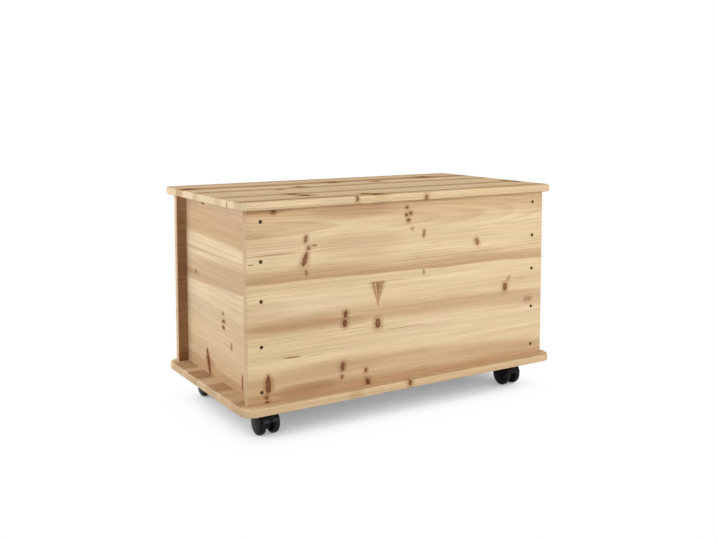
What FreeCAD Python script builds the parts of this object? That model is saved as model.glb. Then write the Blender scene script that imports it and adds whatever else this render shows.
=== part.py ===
# Toy chest of edge-glued pine boards on four twin-wheel casters, with a hinged lid.
#
# Millimetres, +Z up. The origin is on the floor under the middle of the chest's outer box,
# the length runs along X and the front faces -Y.

import FreeCAD, Part
import os
import Sketcher

# Driving sizes, one named cell each.
SIZES = {
    # Boards: all six are cut from one stock.
    "board_thickness": 16.0,
    "panel_width": 768.0,
    "panel_height": 388.0,
    "panel_end_overhang": 23.0,
    "carcass_depth": 392.0,
    "eased_edge_radius": 1.5,
    "lid_side_overhang": 16.0,
    "lid_front_overhang": 17.0,
    "lid_rear_overhang": 20.0,
    "lid_corner_radius": 20.0,
    "lid_edge_radius": 3.0,
    "base_side_overhang": 17.0,
    "base_front_overhang": 25.0,
    "base_rear_overhang": 16.0,
    "base_corner_radius": 30.0,
    "base_edge_radius": 4.0,
    # Countersunk wood screws through the panels and the base.
    "screw_head_diameter": 8.0,
    "screw_shank_diameter": 4.0,
    "screw_length": 40.0,
    "screw_tip_length": 5.0,
    "screw_recess": 0.4,
    "screw_clearance": 0.1,
    "pilot_end_gap": 1.0,
    # Hinges, in the corner under the lid's rear overhang.
    "hinge_length": 60.0,
    "hinge_end_inset": 134.0,
    "hinge_leaf_thickness": 1.5,
    "hinge_rear_margin": 2.6,
    "hinge_wood_gap": 0.35,
    "hinge_pin_diameter": 3.0,
    "hinge_pin_head_diameter": 4.6,
    "hinge_pin_head_thickness": 1.0,
    "hinge_corner_radius": 2.5,
    "hinge_screw_head_diameter": 5.0,
    "hinge_screw_shank_diameter": 2.5,
    "hinge_screw_length": 12.0,
    "hinge_screw_tip_length": 3.0,
    # Casters: where their swivel axes stand inside the carcass, and their trail.
    "caster_side_inset": 39.0,
    "caster_depth_inset": 29.5,
    "caster_trail": 19.5,
    # Caster wheels and the axle that carries a pair.
    "wheel_diameter": 50.0,
    "wheel_width": 17.4,
    "wheel_gap": 16.0,
    "wheel_dome_rise": 3.6,
    "wheel_outer_round": 6.5,
    "wheel_inner_round": 5.0,
    "wheel_rim": 5.5,
    "wheel_wall": 4.0,
    "wheel_hub_diameter": 12.0,
    "wheel_bore_depth": 13.0,
    "axle_diameter": 5.0,
    "axle_end_gap": 0.4,
    "axle_chamfer": 0.5,
    "snap_depth": 0.3,
    "snap_width": 2.0,
    "snap_inset": 3.0,
    # Caster hood: fender over the wheels, web between them, socket for the king pin.
    "fender_gap": 1.5,
    "fender_wall": 2.5,
    "fender_width": 37.0,
    "fender_low": 6.0,
    "fender_edge_radius": 1.2,
    "web_gap": 0.7,
    "web_hub_radius": 15.0,
    "web_front_rise": 9.7,
    "hood_neck": 6.2,
    "hood_neck_diameter": 18.0,
    "socket_end_gap": 0.5,
    # King pin riveted in the dished plate, with the ring that holds the hood on it.
    "king_pin_diameter": 7.0,
    "king_pin_head_diameter": 12.0,
    "king_pin_head_thickness": 1.2,
    "king_pin_reach": 22.0,
    "king_pin_chamfer": 1.0,
    "king_pin_groove_depth": 0.7,
    "king_pin_groove_drop": 12.0,
    "grip_ring_wall": 1.2,
    "grip_ring_height": 2.0,
    "grip_ring_slot": 1.6,
    # Caster mounting plate and its screws.
    "plate_size": 42.0,
    "plate_corner_radius": 6.0,
    "plate_thickness": 2.0,
    "plate_dish": 1.5,
    "plate_dish_diameter": 16.0,
    "plate_hole_spacing": 32.0,
    "plate_hole_diameter": 4.5,
    "plate_screw_head_diameter": 8.0,
    "plate_screw_head_height": 2.2,
    "plate_screw_shank_diameter": 3.5,
    "plate_screw_length": 13.0,
    # Clearances and the length by which a cut runs past the solid.
    "running_clearance": 0.05,
    "moving_gap": 0.3,
    "overrun": 1.0,
}

# Heights of the panel screws, as shares of the panel's height.
PANEL_SCREW_HEIGHT_SHARES = (0.062, 0.296, 0.531, 0.735, 0.938)
# Places of the base screws along the front and back panels and along the sides.
BASE_SCREW_WIDTH_SHARES = (-0.32, -0.11, 0.11, 0.32)
BASE_SCREW_DEPTH_SHARES = (-0.25, 0.25)
# Places of the screws along a hinge leaf, and from its axis to its free edge.
HINGE_SCREW_LENGTH_SHARES = (-0.34, 0.0, 0.34)
HINGE_SCREW_REACH_SHARE = 0.64
# Where a pan head starts to round, as a share of its height.
PAN_HEAD_ROUND_SHARE = 0.6
BODY_KNUCKLES = 3
LID_KNUCKLES = 2
COUNTERSINK_ANGLE = 90
FULL_TURN = 360
HALF_TURN = 180
SIDES = (("left", "-"), ("right", ""))

# Sizes and places that follow from the driving ones.
PLACES = {
    "carcass_y": "(max(Sizes.base_front_overhang; Sizes.lid_front_overhang)"
                 " - max(Sizes.lid_rear_overhang; Sizes.base_rear_overhang)) / 2",
    "panel_y": "(Sizes.carcass_depth - Sizes.board_thickness) / 2",
    "side_x": "Sizes.panel_width / 2 - Sizes.panel_end_overhang - Sizes.board_thickness / 2",
    "side_depth": "Sizes.carcass_depth - 2 * Sizes.board_thickness",
    "lid_width": "Sizes.panel_width + 2 * Sizes.lid_side_overhang",
    "lid_depth": "Sizes.carcass_depth + Sizes.lid_front_overhang + Sizes.lid_rear_overhang",
    "lid_y": "carcass_y + (Sizes.lid_rear_overhang - Sizes.lid_front_overhang) / 2",
    "base_width": "Sizes.panel_width + 2 * Sizes.base_side_overhang",
    "base_depth": "Sizes.carcass_depth + Sizes.base_front_overhang + Sizes.base_rear_overhang",
    "base_y": "carcass_y + (Sizes.base_rear_overhang - Sizes.base_front_overhang) / 2",
    # Wood screws
    "screw_hole": "Sizes.screw_shank_diameter + 2 * Sizes.screw_clearance",
    "screw_sink": "Sizes.screw_head_diameter + 2 * (Sizes.screw_recess + Sizes.screw_clearance)",
    "screw_pilot": "Sizes.screw_length + Sizes.screw_recess - Sizes.board_thickness + Sizes.pilot_end_gap",
    # Hinges
    "barrel_radius": "Sizes.hinge_pin_diameter / 2 + Sizes.running_clearance + Sizes.hinge_leaf_thickness",
    "hinge_offset": "barrel_radius + Sizes.hinge_wood_gap",
    "leaf_reach": "Sizes.lid_rear_overhang - Sizes.hinge_rear_margin - hinge_offset",
    "leaf_start": "barrel_radius + Sizes.moving_gap",
    "leaf_face": "hinge_offset - Sizes.hinge_leaf_thickness",
    "leaf_hole_reach": f"{HINGE_SCREW_REACH_SHARE} * leaf_reach",
    "knuckle_pitch": f"Sizes.hinge_length / {BODY_KNUCKLES + LID_KNUCKLES}",
    "hinge_bore": "Sizes.hinge_pin_diameter / 2 + Sizes.running_clearance",
    "hinge_hole": "Sizes.hinge_screw_shank_diameter + 2 * Sizes.screw_clearance",
    "hinge_sink": "Sizes.hinge_screw_head_diameter + 2 * Sizes.screw_clearance",
    "hinge_pilot": "Sizes.hinge_screw_length - Sizes.hinge_leaf_thickness + Sizes.pilot_end_gap",
    # Casters, measured up from the floor and out from the swivel axis or the axle
    "wheel_radius": "Sizes.wheel_diameter / 2",
    "fender_inner": "wheel_radius + Sizes.fender_gap",
    "fender_outer": "fender_inner + Sizes.fender_wall",
    "fender_middle": "fender_inner + Sizes.fender_wall / 2",
    "fender_cut": "wheel_radius + Sizes.fender_low",
    "hood_top": "wheel_radius + fender_outer + Sizes.hood_neck",
    "dish_low": "hood_top + Sizes.moving_gap",
    "dish_top": "dish_low + Sizes.plate_thickness",
    "caster_height": "dish_top + Sizes.plate_dish",
    "plate_low": "caster_height - Sizes.plate_thickness",
    "king_pin_end": "hood_top - Sizes.king_pin_reach",
    "king_pin_radius": "Sizes.king_pin_diameter / 2",
    "socket_radius": "king_pin_radius + Sizes.running_clearance",
    "ring_middle": "hood_top - Sizes.king_pin_groove_drop",
    "ring_groove": "Sizes.grip_ring_height + Sizes.moving_gap",
    "ring_inner": "king_pin_radius - Sizes.king_pin_groove_depth + Sizes.running_clearance",
    "ring_outer": "ring_inner + Sizes.grip_ring_wall",
    "web_thickness": "Sizes.wheel_gap - 2 * Sizes.web_gap",
    "wheel_inside": "Sizes.wheel_gap / 2",
    "wheel_outside": "wheel_inside + Sizes.wheel_width",
    "wheel_edge": "wheel_outside - Sizes.wheel_dome_rise",
    "wheel_bore": "Sizes.axle_diameter / 2 + Sizes.running_clearance",
    "wheel_bore_end": "wheel_inside + Sizes.wheel_bore_depth",
    "dome_radius": "(wheel_radius ^ 2 + Sizes.wheel_dome_rise ^ 2) / (2 * Sizes.wheel_dome_rise)",
    "axle_half": "wheel_bore_end - Sizes.axle_end_gap",
    "snap_middle": "axle_half - Sizes.snap_inset",
    "plate_pilot": "Sizes.plate_screw_length - Sizes.plate_thickness + Sizes.pilot_end_gap",
    "plate_screw_hole": "Sizes.plate_screw_shank_diameter + 2 * Sizes.screw_clearance",
    "caster_x": "side_x + Sizes.board_thickness / 2 - Sizes.caster_side_inset",
    "caster_y": "Sizes.carcass_depth / 2 - Sizes.caster_depth_inset",
    # Heights of the boards and the hinge axis
    "base_top": "caster_height + Sizes.board_thickness",
    "lid_low": "base_top + Sizes.panel_height",
    "hinge_y": "carcass_y + Sizes.carcass_depth / 2 + hinge_offset",
    "hinge_z": "lid_low - hinge_offset",
    "hinge_x": "Sizes.panel_width / 2 - Sizes.hinge_end_inset",
}

doc = FreeCAD.newDocument("toy_chest")
Vector = FreeCAD.Vector
Rotation = FreeCAD.Rotation
Placement = FreeCAD.Placement
UP = Vector(0, 0, 1)


def fill_sheet(name, cells):
    """A spreadsheet with one aliased cell for each entry."""
    sheet = doc.addObject("Spreadsheet::Sheet", name)
    for row, (alias, content) in enumerate(cells.items(), start=1):
        sheet.set(f"A{row}", alias)
        sheet.set(f"B{row}", content)
        sheet.setAlias(f"B{row}", alias)
    doc.recompute()
    return sheet


sizes = fill_sheet("Sizes", {alias: str(value) for alias, value in SIZES.items()})
places = fill_sheet("Places", {alias: f"={formula}" for alias, formula in PLACES.items()})
nodes = []


def new_body(label):
    """A body of its own for one piece, which becomes a node of the chest."""
    body = doc.addObject("PartDesign::Body", label)
    body.Label = label
    nodes.append(body)
    return body


def origin_of(body, role):
    """One of the body's own origin planes or axes."""
    return next(item for item in body.Origin.OriginFeatures if item.Role == role)


def new_sketch(body, role, offset=None):
    """An empty sketch on an origin plane, moved along the plane's normal by an expression."""
    sketch = body.newObject("Sketcher::SketchObject", f"{body.Name}_sketch")
    sketch.AttachmentSupport = [(origin_of(body, role), "")]
    sketch.MapMode = "FlatFace"
    if offset:
        sketch.setExpression("AttachmentOffset.Base.z", offset)
    return sketch


def hold_point(sketch, geometry, end, point):
    """Fix a point of the sketch's geometry at a pair of expressions."""
    for kind, expression in zip(("DistanceX", "DistanceY"), point):
        value = float(sketch.evalExpression(expression))
        index = sketch.addConstraint(Sketcher.Constraint(kind, -1, 1, geometry, end, value))
        sketch.setExpression(f"Constraints[{index}]", expression)


def outline(body, role, points, arcs=None, offset=None):
    """A closed outline through points given as expressions.

    arcs gives, for the stretch after a point's number, a further point that the stretch curves through.
    """
    sketch = new_sketch(body, role, offset)
    arcs = arcs or {}
    corners = [Vector(*(float(sketch.evalExpression(part)) for part in point), 0) for point in points]
    ends = []
    for number, corner in enumerate(corners):
        following = corners[(number + 1) % len(corners)]
        if number not in arcs:
            ends.append((sketch.addGeometry(Part.LineSegment(corner, following)), 1, 2))
            continue
        middle = Vector(*(float(sketch.evalExpression(part)) for part in arcs[number]), 0)
        arc = Part.Arc(corner, middle, following)
        stretch = sketch.addGeometry(arc)
        starts_here = sketch.getPoint(stretch, 1).isEqual(corner, SIZES["running_clearance"])
        ends.append((stretch, 1, 2) if starts_here else (stretch, 2, 1))
    for number, (stretch, _, last) in enumerate(ends):
        following, first, _ = ends[(number + 1) % len(ends)]
        sketch.addConstraint(Sketcher.Constraint("Coincident", stretch, last, following, first))
    for (stretch, first, _), point in zip(ends, points):
        hold_point(sketch, stretch, first, point)
    for number, point in arcs.items():
        middle = Vector(*(float(sketch.evalExpression(part)) for part in point), 0)
        marker = sketch.addGeometry(Part.Point(middle), True)
        sketch.addConstraint(Sketcher.Constraint("PointOnObject", marker, 1, ends[number][0]))
        hold_point(sketch, marker, 1, point)
    return sketch


def circles(body, role, radius, points, offset=None):
    """Circles of one radius round points given as expressions."""
    sketch = new_sketch(body, role, offset)
    for point in points:
        middle = Vector(*(float(sketch.evalExpression(part)) for part in point), 0)
        value = float(sketch.evalExpression(radius))
        circle = sketch.addGeometry(Part.Circle(middle, UP, value))
        hold_point(sketch, circle, 3, point)
        index = sketch.addConstraint(Sketcher.Constraint("Radius", circle, value))
        sketch.setExpression(f"Constraints[{index}]", radius)
    return sketch


def rectangle(width, depth):
    """Corners of a rectangle centred on the sketch's origin."""
    signs = (("-", "-"), ("", "-"), ("", ""), ("-", ""))
    return [(f"{a}({width}) / 2", f"{b}({depth}) / 2") for a, b in signs]


def upright(width, height):
    """Corners of a rectangle that stands on the sketch's origin."""
    left = f"-({width}) / 2"
    right = f"({width}) / 2"
    return [(left, "0"), (right, "0"), (right, height), (left, height)]


def pad(body, sketch, length, symmetric=False):
    """Thicken a sketch."""
    feature = body.newObject("PartDesign::Pad", f"{body.Name}_pad")
    feature.Profile = sketch
    feature.SideType = "Symmetric" if symmetric else "One side"
    feature.setExpression("Length", length)
    doc.recompute()
    return feature


def pocket(body, sketch, length=None, symmetric=False, reverse=False):
    """Cut a sketch away, to a depth or right through."""
    feature = body.newObject("PartDesign::Pocket", f"{body.Name}_pocket")
    feature.Profile = sketch
    feature.SideType = "Symmetric" if symmetric else "One side"
    feature.Reversed = reverse
    if length:
        feature.setExpression("Length", length)
    else:
        feature.Type = "ThroughAll"
    doc.recompute()
    return feature


def drill(body, sketch, diameter, depth=None, sink=None, reverse=False):
    """Drill the sketch's circles, to a flat-bottomed depth or right through, countersunk if given."""
    feature = body.newObject("PartDesign::Hole", f"{body.Name}_hole")
    feature.Profile = sketch
    doc.recompute()
    feature.ThreadType = "None"
    feature.DrillPoint = "Flat"
    feature.Reversed = reverse
    feature.setExpression("Diameter", diameter)
    if depth:
        feature.DepthType = "Dimension"
        feature.setExpression("Depth", depth)
    else:
        feature.DepthType = "ThroughAll"
    if sink:
        feature.HoleCutType = "Countersink"
        feature.HoleCutCustomValues = True
        feature.HoleCutCountersinkAngle = COUNTERSINK_ANGLE
        feature.setExpression("HoleCutDiameter", sink)
    doc.recompute()
    return feature


def turn(body, sketch, axis, kind="Revolution"):
    """Revolve a profile a full turn about one of the body's axes."""
    feature = body.newObject(f"PartDesign::{kind}", f"{body.Name}_turned")
    feature.Profile = sketch
    feature.ReferenceAxis = (origin_of(body, axis), [""])
    feature.Angle = FULL_TURN
    doc.recompute()
    return feature


def round_edges(body, base, radius, wanted):
    """Fillet the edges of the base feature that the test picks."""
    feature = body.newObject("PartDesign::Fillet", f"{body.Name}_round")
    names = [f"Edge{number}" for number, edge in enumerate(base.Shape.Edges, start=1) if wanted(edge)]
    feature.Base = (base, names)
    feature.setExpression("Radius", radius)
    doc.recompute()
    return feature


def runs_along(edge, direction):
    """Whether a straight edge lies along a direction."""
    if edge.Curve.TypeId != "Part::GeomLine":
        return False
    return abs(edge.Curve.Direction.dot(direction)) > 1 - Part.Precision.angular()


def at_height(edge, height):
    """Whether an edge lies level at a height."""
    near = SIZES["running_clearance"]
    return abs(edge.BoundBox.ZMin - height) < near and abs(edge.BoundBox.ZMax - height) < near


def place(body, x, y, z, rotation=None):
    """Turn a body and bind its place to expressions."""
    if rotation:
        body.Placement = Placement(Vector(), rotation)
    body.setExpression("Placement.Base.x", x)
    body.setExpression("Placement.Base.y", y)
    body.setExpression("Placement.Base.z", z)


def value(alias):
    """The number in a cell of either sheet."""
    return sizes.get(alias) if alias in SIZES else places.get(alias)


def group(label, master, spots, frame):
    """One node of loose copies of a master piece, at spots in the frame of the piece that carries them."""
    copies = []
    for spot in spots:
        copy = master.Shape.copy()
        copy.Placement = spot
        copies.append(copy)
    node = doc.addObject("Part::Feature", label)
    node.Label = label
    node.Shape = Part.makeCompound(copies)
    node.Placement = frame
    nodes.append(node)


# Flat boards: the base and the lid, with rounded corners and edges.
def flat_board(label, width, depth, corner, top_round, low_round):
    """A level board with rounded corners, its middle on the origin and its underside at zero."""
    body = new_body(label)
    stock = pad(body, outline(body, "XY_Plane", rectangle(width, depth)), "Sizes.board_thickness")
    cornered = round_edges(body, stock, corner, lambda edge: runs_along(edge, UP))
    topped = round_edges(body, cornered, top_round, lambda edge: at_height(edge, value("board_thickness")))
    round_edges(body, topped, low_round, lambda edge: at_height(edge, 0))
    return body


# Where the base screws go, measured from the middle of the carcass.
base_screw_spots = [(f"{share} * Sizes.panel_width", f"{end}Places.panel_y")
                    for end in ("-", "") for share in BASE_SCREW_WIDTH_SHARES]
base_screw_spots += [(f"{side}Places.side_x", f"{share} * Places.side_depth")
                     for _, side in SIDES for share in BASE_SCREW_DEPTH_SHARES]
base_shift = "Places.carcass_y - Places.base_y"

base_board = flat_board("base_board", "Places.base_width", "Places.base_depth",
                        "Sizes.base_corner_radius", "Sizes.base_edge_radius", "Sizes.eased_edge_radius")
base_holes = circles(base_board, "XY_Plane", "Places.screw_hole / 2",
                     [(x, f"{y} + {base_shift}") for x, y in base_screw_spots])
drill(base_board, base_holes, "Places.screw_hole", sink="Places.screw_sink", reverse=True)
plate_screw_spots = [(f"{a}Places.caster_x {c} Sizes.plate_hole_spacing / 2",
                      f"{b}Places.caster_y {d} Sizes.plate_hole_spacing / 2")
                     for a in ("-", "") for b in ("-", "") for c in "-+" for d in "-+"]
plate_pilots = circles(base_board, "XY_Plane", "Places.plate_screw_hole / 2",
                       [(x, f"{y} + {base_shift}") for x, y in plate_screw_spots])
drill(base_board, plate_pilots, "Places.plate_screw_hole", depth="Places.plate_pilot", reverse=True)
place(base_board, "0", "Places.base_y", "Places.caster_height")

lid_board = flat_board("lid_board", "Places.lid_width", "Places.lid_depth",
                       "Sizes.lid_corner_radius", "Sizes.lid_edge_radius", "Sizes.lid_edge_radius")
hinge_screw_xs = [f"{side}Places.hinge_x + {share} * Sizes.hinge_length"
                  for _, side in SIDES for share in HINGE_SCREW_LENGTH_SHARES]
lid_pilots = circles(lid_board, "XY_Plane", "Places.hinge_hole / 2",
                     [(x, "Places.hinge_y - Places.lid_y + Places.leaf_hole_reach") for x in hinge_screw_xs])
drill(lid_board, lid_pilots, "Places.hinge_hole", depth="Places.hinge_pilot", reverse=True)
place(lid_board, "0", "Places.lid_y", "Places.lid_low")


# Upright boards: the front and back panels overhang the sides, which stand between them.
def wide_panel(label):
    """Front or back panel, its outer face towards -Y, countersunk at the ends and with pilots below."""
    body = new_body(label)
    stock = pad(body, outline(body, "XZ_Plane", upright("Sizes.panel_width", "Sizes.panel_height")),
                "Sizes.board_thickness", symmetric=True)
    round_edges(body, stock, "Sizes.eased_edge_radius",
                lambda edge: runs_along(edge, UP) or at_height(edge, value("panel_height")))
    ends = [(f"{side}Places.side_x", f"{share} * Sizes.panel_height")
            for _, side in SIDES for share in PANEL_SCREW_HEIGHT_SHARES]
    holes = circles(body, "XZ_Plane", "Places.screw_hole / 2", ends, "Sizes.board_thickness / 2")
    drill(body, holes, "Places.screw_hole", sink="Places.screw_sink")
    pilots = circles(body, "XY_Plane", "Places.screw_hole / 2",
                     [(f"{share} * Sizes.panel_width", "0") for share in BASE_SCREW_WIDTH_SHARES])
    drill(body, pilots, "Places.screw_hole", depth="Places.screw_pilot", reverse=True)
    return body


front_panel = wide_panel("front_panel")
place(front_panel, "0", "Places.carcass_y - Places.panel_y", "Places.base_top")
back_panel = wide_panel("back_panel")
leaf_pilots = circles(back_panel, "XZ_Plane", "Places.hinge_hole / 2",
                      [(x, "Sizes.panel_height - Places.hinge_offset - Places.leaf_hole_reach")
                       for x in hinge_screw_xs], "Sizes.board_thickness / 2")
drill(back_panel, leaf_pilots, "Places.hinge_hole", depth="Places.hinge_pilot")
place(back_panel, "0", "Places.carcass_y + Places.panel_y", "Places.base_top", Rotation(UP, HALF_TURN))


def side_panel(label):
    """Side panel, with pilots in both upright edges and in its lower edge."""
    body = new_body(label)
    stock = pad(body, outline(body, "YZ_Plane", upright("Places.side_depth", "Sizes.panel_height")),
                "Sizes.board_thickness", symmetric=True)
    round_edges(body, stock, "Sizes.eased_edge_radius",
                lambda edge: runs_along(edge, Vector(0, 1, 0)) and at_height(edge, value("panel_height")))
    edge_pilots = circles(body, "XZ_Plane", "Places.screw_hole / 2",
                          [("0", f"{share} * Sizes.panel_height") for share in PANEL_SCREW_HEIGHT_SHARES],
                          "Places.side_depth / 2")
    front_edge = drill(body, edge_pilots, "Places.screw_hole", depth="Places.screw_pilot")
    both_edges = body.newObject("PartDesign::Mirrored", f"{body.Name}_mirrored")
    both_edges.Originals = [front_edge]
    both_edges.MirrorPlane = (origin_of(body, "XZ_Plane"), [""])
    body.Tip = both_edges
    low_pilots = circles(body, "XY_Plane", "Places.screw_hole / 2",
                         [("0", f"{share} * Places.side_depth") for share in BASE_SCREW_DEPTH_SHARES])
    drill(body, low_pilots, "Places.screw_hole", depth="Places.screw_pilot", reverse=True)
    return body


for side_name, side_sign in SIDES:
    side_place = (f"{side_sign}Places.side_x", "Places.carcass_y", "Places.base_top")
    place(side_panel(f"{side_name}_side_panel"), *side_place)


# Screws: one master of each kind, and a node for each group of copies.
def countersunk_screw(label, kind):
    """A wood screw that points down from its head, which lies at zero. Its sizes' names start with kind."""
    body = doc.addObject("PartDesign::Body", label)
    head = f"Sizes.{kind}_head_diameter / 2"
    shank = f"Sizes.{kind}_shank_diameter / 2"
    profile = outline(body, "XZ_Plane", [
        ("0", "0"),
        (head, "0"),
        (shank, f"{shank} - {head}"),
        (shank, f"Sizes.{kind}_tip_length - Sizes.{kind}_length"),
        ("0", f"-Sizes.{kind}_length"),
    ])
    turn(body, profile, "Z_Axis")
    return body


def pan_screw(label):
    """A pan-head screw that points up from its head, whose seat lies at zero."""
    body = doc.addObject("PartDesign::Body", label)
    head = "Sizes.plate_screw_head_diameter / 2"
    height = "Sizes.plate_screw_head_height"
    shank = "Sizes.plate_screw_shank_diameter / 2"
    profile = outline(body, "XZ_Plane", [
        ("0", f"-{height}"),
        (f"{head} - {PAN_HEAD_ROUND_SHARE} * {height}", f"-{height}"),
        (head, f"({PAN_HEAD_ROUND_SHARE} - 1) * {height}"),
        (head, "0"),
        (shank, "0"),
        (shank, f"Sizes.plate_screw_length - {shank}"),
        ("0", "Sizes.plate_screw_length"),
    ])
    turn(body, profile, "Z_Axis")
    return body


def spot(x, y, z, rotation=Rotation()):
    """A place in a carrier's frame, worked out from expressions."""
    return Placement(Vector(*(float(sizes.evalExpression(part)) for part in (x, y, z))), rotation)


wood_screw = countersunk_screw("wood_screw", "screw")
hinge_screw = countersunk_screw("hinge_screw", "hinge_screw")
plate_screw = pan_screw("plate_screw")
into_back = Rotation(Vector(0, 0, -1), Vector(0, 1, 0))
into_front = into_back.inverted()
upside_down = Rotation(Vector(1, 0, 0), HALF_TURN)
doc.recompute()

panel_spots = [spot(f"{side}Places.side_x", "Sizes.screw_recess - Sizes.board_thickness / 2",
                    f"{share} * Sizes.panel_height", into_back)
               for _, side in SIDES for share in PANEL_SCREW_HEIGHT_SHARES]
for panel in (front_panel, back_panel):
    group(f"{panel.Label}_screws", wood_screw, panel_spots, panel.Placement)
carcass_foot = Placement(Vector(0, value("carcass_y"), value("caster_height")), Rotation())
group("base_screws", wood_screw,
      [spot(x, y, "Sizes.screw_recess", upside_down) for x, y in base_screw_spots], carcass_foot)
group("caster_screws", plate_screw,
      [spot(x, y, "-Sizes.plate_thickness") for x, y in plate_screw_spots], carcass_foot)


# Hinges: two leaves rolled round a pin. The leaf's own frame has the pin along X and the leaf hanging down.
def hinge_leaf(label, knuckles):
    """A leaf with knuckles at every second place along the pin, evenly about the middle."""
    body = new_body(label)
    first_knuckle = f"-{knuckles - 1} * Places.knuckle_pitch"
    wood_side = "-Places.hinge_offset"
    free_side = "-Places.leaf_face"
    plate = pad(body, outline(body, "YZ_Plane", [
        (wood_side, "-Places.leaf_reach"),
        (free_side, "-Places.leaf_reach"),
        (free_side, "-Places.leaf_start"),
        (wood_side, "-Places.leaf_start"),
    ]), "Sizes.hinge_length", symmetric=True)
    round_edges(body, plate, "Sizes.hinge_corner_radius",
                lambda edge: runs_along(edge, Vector(0, 1, 0)) and at_height(edge, -value("leaf_reach")))
    strap = pad(body, outline(body, "YZ_Plane", [
        (wood_side, "-Places.leaf_start"),
        (free_side, "-Places.leaf_start"),
        (free_side, "0"),
        (wood_side, "0"),
    ], offset=first_knuckle), "Places.knuckle_pitch - Sizes.moving_gap", symmetric=True)
    barrel = pad(body, circles(body, "YZ_Plane", "Places.barrel_radius", [("0", "0")], first_knuckle),
                 "Places.knuckle_pitch - Sizes.moving_gap", symmetric=True)
    row = body.newObject("PartDesign::LinearPattern", f"{body.Name}_knuckles")
    row.Originals = [strap, barrel]
    row.Direction = (origin_of(body, "X_Axis"), [""])
    row.setExpression("Length", f"{2 * (knuckles - 1)} * Places.knuckle_pitch")
    row.Occurrences = knuckles
    body.Tip = row
    doc.recompute()
    pocket(body, circles(body, "YZ_Plane", "Places.hinge_bore", [("0", "0")]),
           "Sizes.hinge_length + Sizes.overrun", symmetric=True)
    holes = circles(body, "XZ_Plane", "Places.hinge_hole / 2",
                    [(f"{share} * Sizes.hinge_length", "-Places.leaf_hole_reach")
                     for share in HINGE_SCREW_LENGTH_SHARES], "Places.leaf_face")
    drill(body, holes, "Places.hinge_hole", sink="Places.hinge_sink", reverse=True)
    return body


def hinge_pin(label):
    """A pin along X with a low head at each end of the barrel."""
    body = new_body(label)
    radius = "Sizes.hinge_pin_diameter / 2"
    head = "Sizes.hinge_pin_head_diameter / 2"
    inner = "Sizes.hinge_length / 2"
    outer = f"{inner} + Sizes.hinge_pin_head_thickness"
    turn(body, outline(body, "XY_Plane", [
        (f"-({outer})", "0"),
        (f"-({outer})", head),
        (f"-{inner}", head),
        (f"-{inner}", radius),
        (inner, radius),
        (inner, head),
        (outer, head),
        (outer, "0"),
    ]), "X_Axis")
    return body


# The lid leaf is the body leaf turned over about the line midway between the two boards.
lid_leaf_turn = Rotation(Vector(0, 1, -1), HALF_TURN)
body_screw_spots = []
lid_screw_spots = []
for side_name, side_sign in SIDES:
    hinge_x = f"{side_sign}Places.hinge_x"
    hinge_place = (hinge_x, "Places.hinge_y", "Places.hinge_z")
    place(hinge_leaf(f"{side_name}_hinge_body_leaf", BODY_KNUCKLES), *hinge_place)
    place(hinge_leaf(f"{side_name}_hinge_lid_leaf", LID_KNUCKLES), *hinge_place, lid_leaf_turn)
    place(hinge_pin(f"{side_name}_hinge_pin"), *hinge_place)
    for share in HINGE_SCREW_LENGTH_SHARES:
        along = f"{hinge_x} + {share} * Sizes.hinge_length"
        body_screw_spots.append(spot(along, "-Places.leaf_face", "-Places.leaf_hole_reach", into_front))
        lid_screw_spots.append(spot(along, "Places.leaf_hole_reach", "Places.leaf_face", upside_down))
hinge_line = Placement(Vector(0, value("hinge_y"), value("hinge_z")), Rotation())
group("hinge_body_screws", hinge_screw, body_screw_spots, hinge_line)
group("hinge_lid_screws", hinge_screw, lid_screw_spots, hinge_line)


# Casters: a caster's own frame stands on the floor under its swivel axis, and its wheels trail along +Y.
def caster_plate(label):
    """Pressed steel plate, dished in the middle to take the king pin's head."""
    body = new_body(label)
    blank = pad(body, outline(body, "XY_Plane", rectangle("Sizes.plate_size", "Sizes.plate_size"),
                              offset="Places.plate_low"), "Sizes.plate_thickness")
    round_edges(body, blank, "Sizes.plate_corner_radius", lambda edge: runs_along(edge, UP))
    pad(body, circles(body, "XY_Plane", "Sizes.plate_dish_diameter / 2 + Sizes.plate_thickness",
                      [("0", "0")], "Places.dish_low"), "Sizes.plate_dish")
    pocket(body, circles(body, "XY_Plane", "Sizes.plate_dish_diameter / 2", [("0", "0")],
                         "Places.caster_height"), "Sizes.plate_dish")
    pocket(body, circles(body, "XY_Plane", "Places.socket_radius", [("0", "0")], "Places.caster_height"))
    corners = [(f"{a}Sizes.plate_hole_spacing / 2", f"{b}Sizes.plate_hole_spacing / 2")
               for a in ("-", "") for b in ("-", "")]
    pocket(body, circles(body, "XY_Plane", "Sizes.plate_hole_diameter / 2", corners, "Places.caster_height"))
    return body


def king_pin(label):
    """Steel pin with a low head in the plate's dish and a groove for the grip ring."""
    body = new_body(label)
    radius = "Places.king_pin_radius"
    head = "Sizes.king_pin_head_diameter / 2"
    groove = f"{radius} - Sizes.king_pin_groove_depth"
    turn(body, outline(body, "XZ_Plane", [
        ("0", "Places.dish_top + Sizes.king_pin_head_thickness"),
        (head, "Places.dish_top + Sizes.king_pin_head_thickness"),
        (head, "Places.dish_top"),
        (radius, "Places.dish_top"),
        (radius, "Places.ring_middle + Places.ring_groove / 2"),
        (groove, "Places.ring_middle + Places.ring_groove / 2"),
        (groove, "Places.ring_middle - Places.ring_groove / 2"),
        (radius, "Places.ring_middle - Places.ring_groove / 2"),
        (radius, "Places.king_pin_end + Sizes.king_pin_chamfer"),
        (f"{radius} - Sizes.king_pin_chamfer", "Places.king_pin_end"),
        ("0", "Places.king_pin_end"),
    ]), "Z_Axis")
    return body


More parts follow.
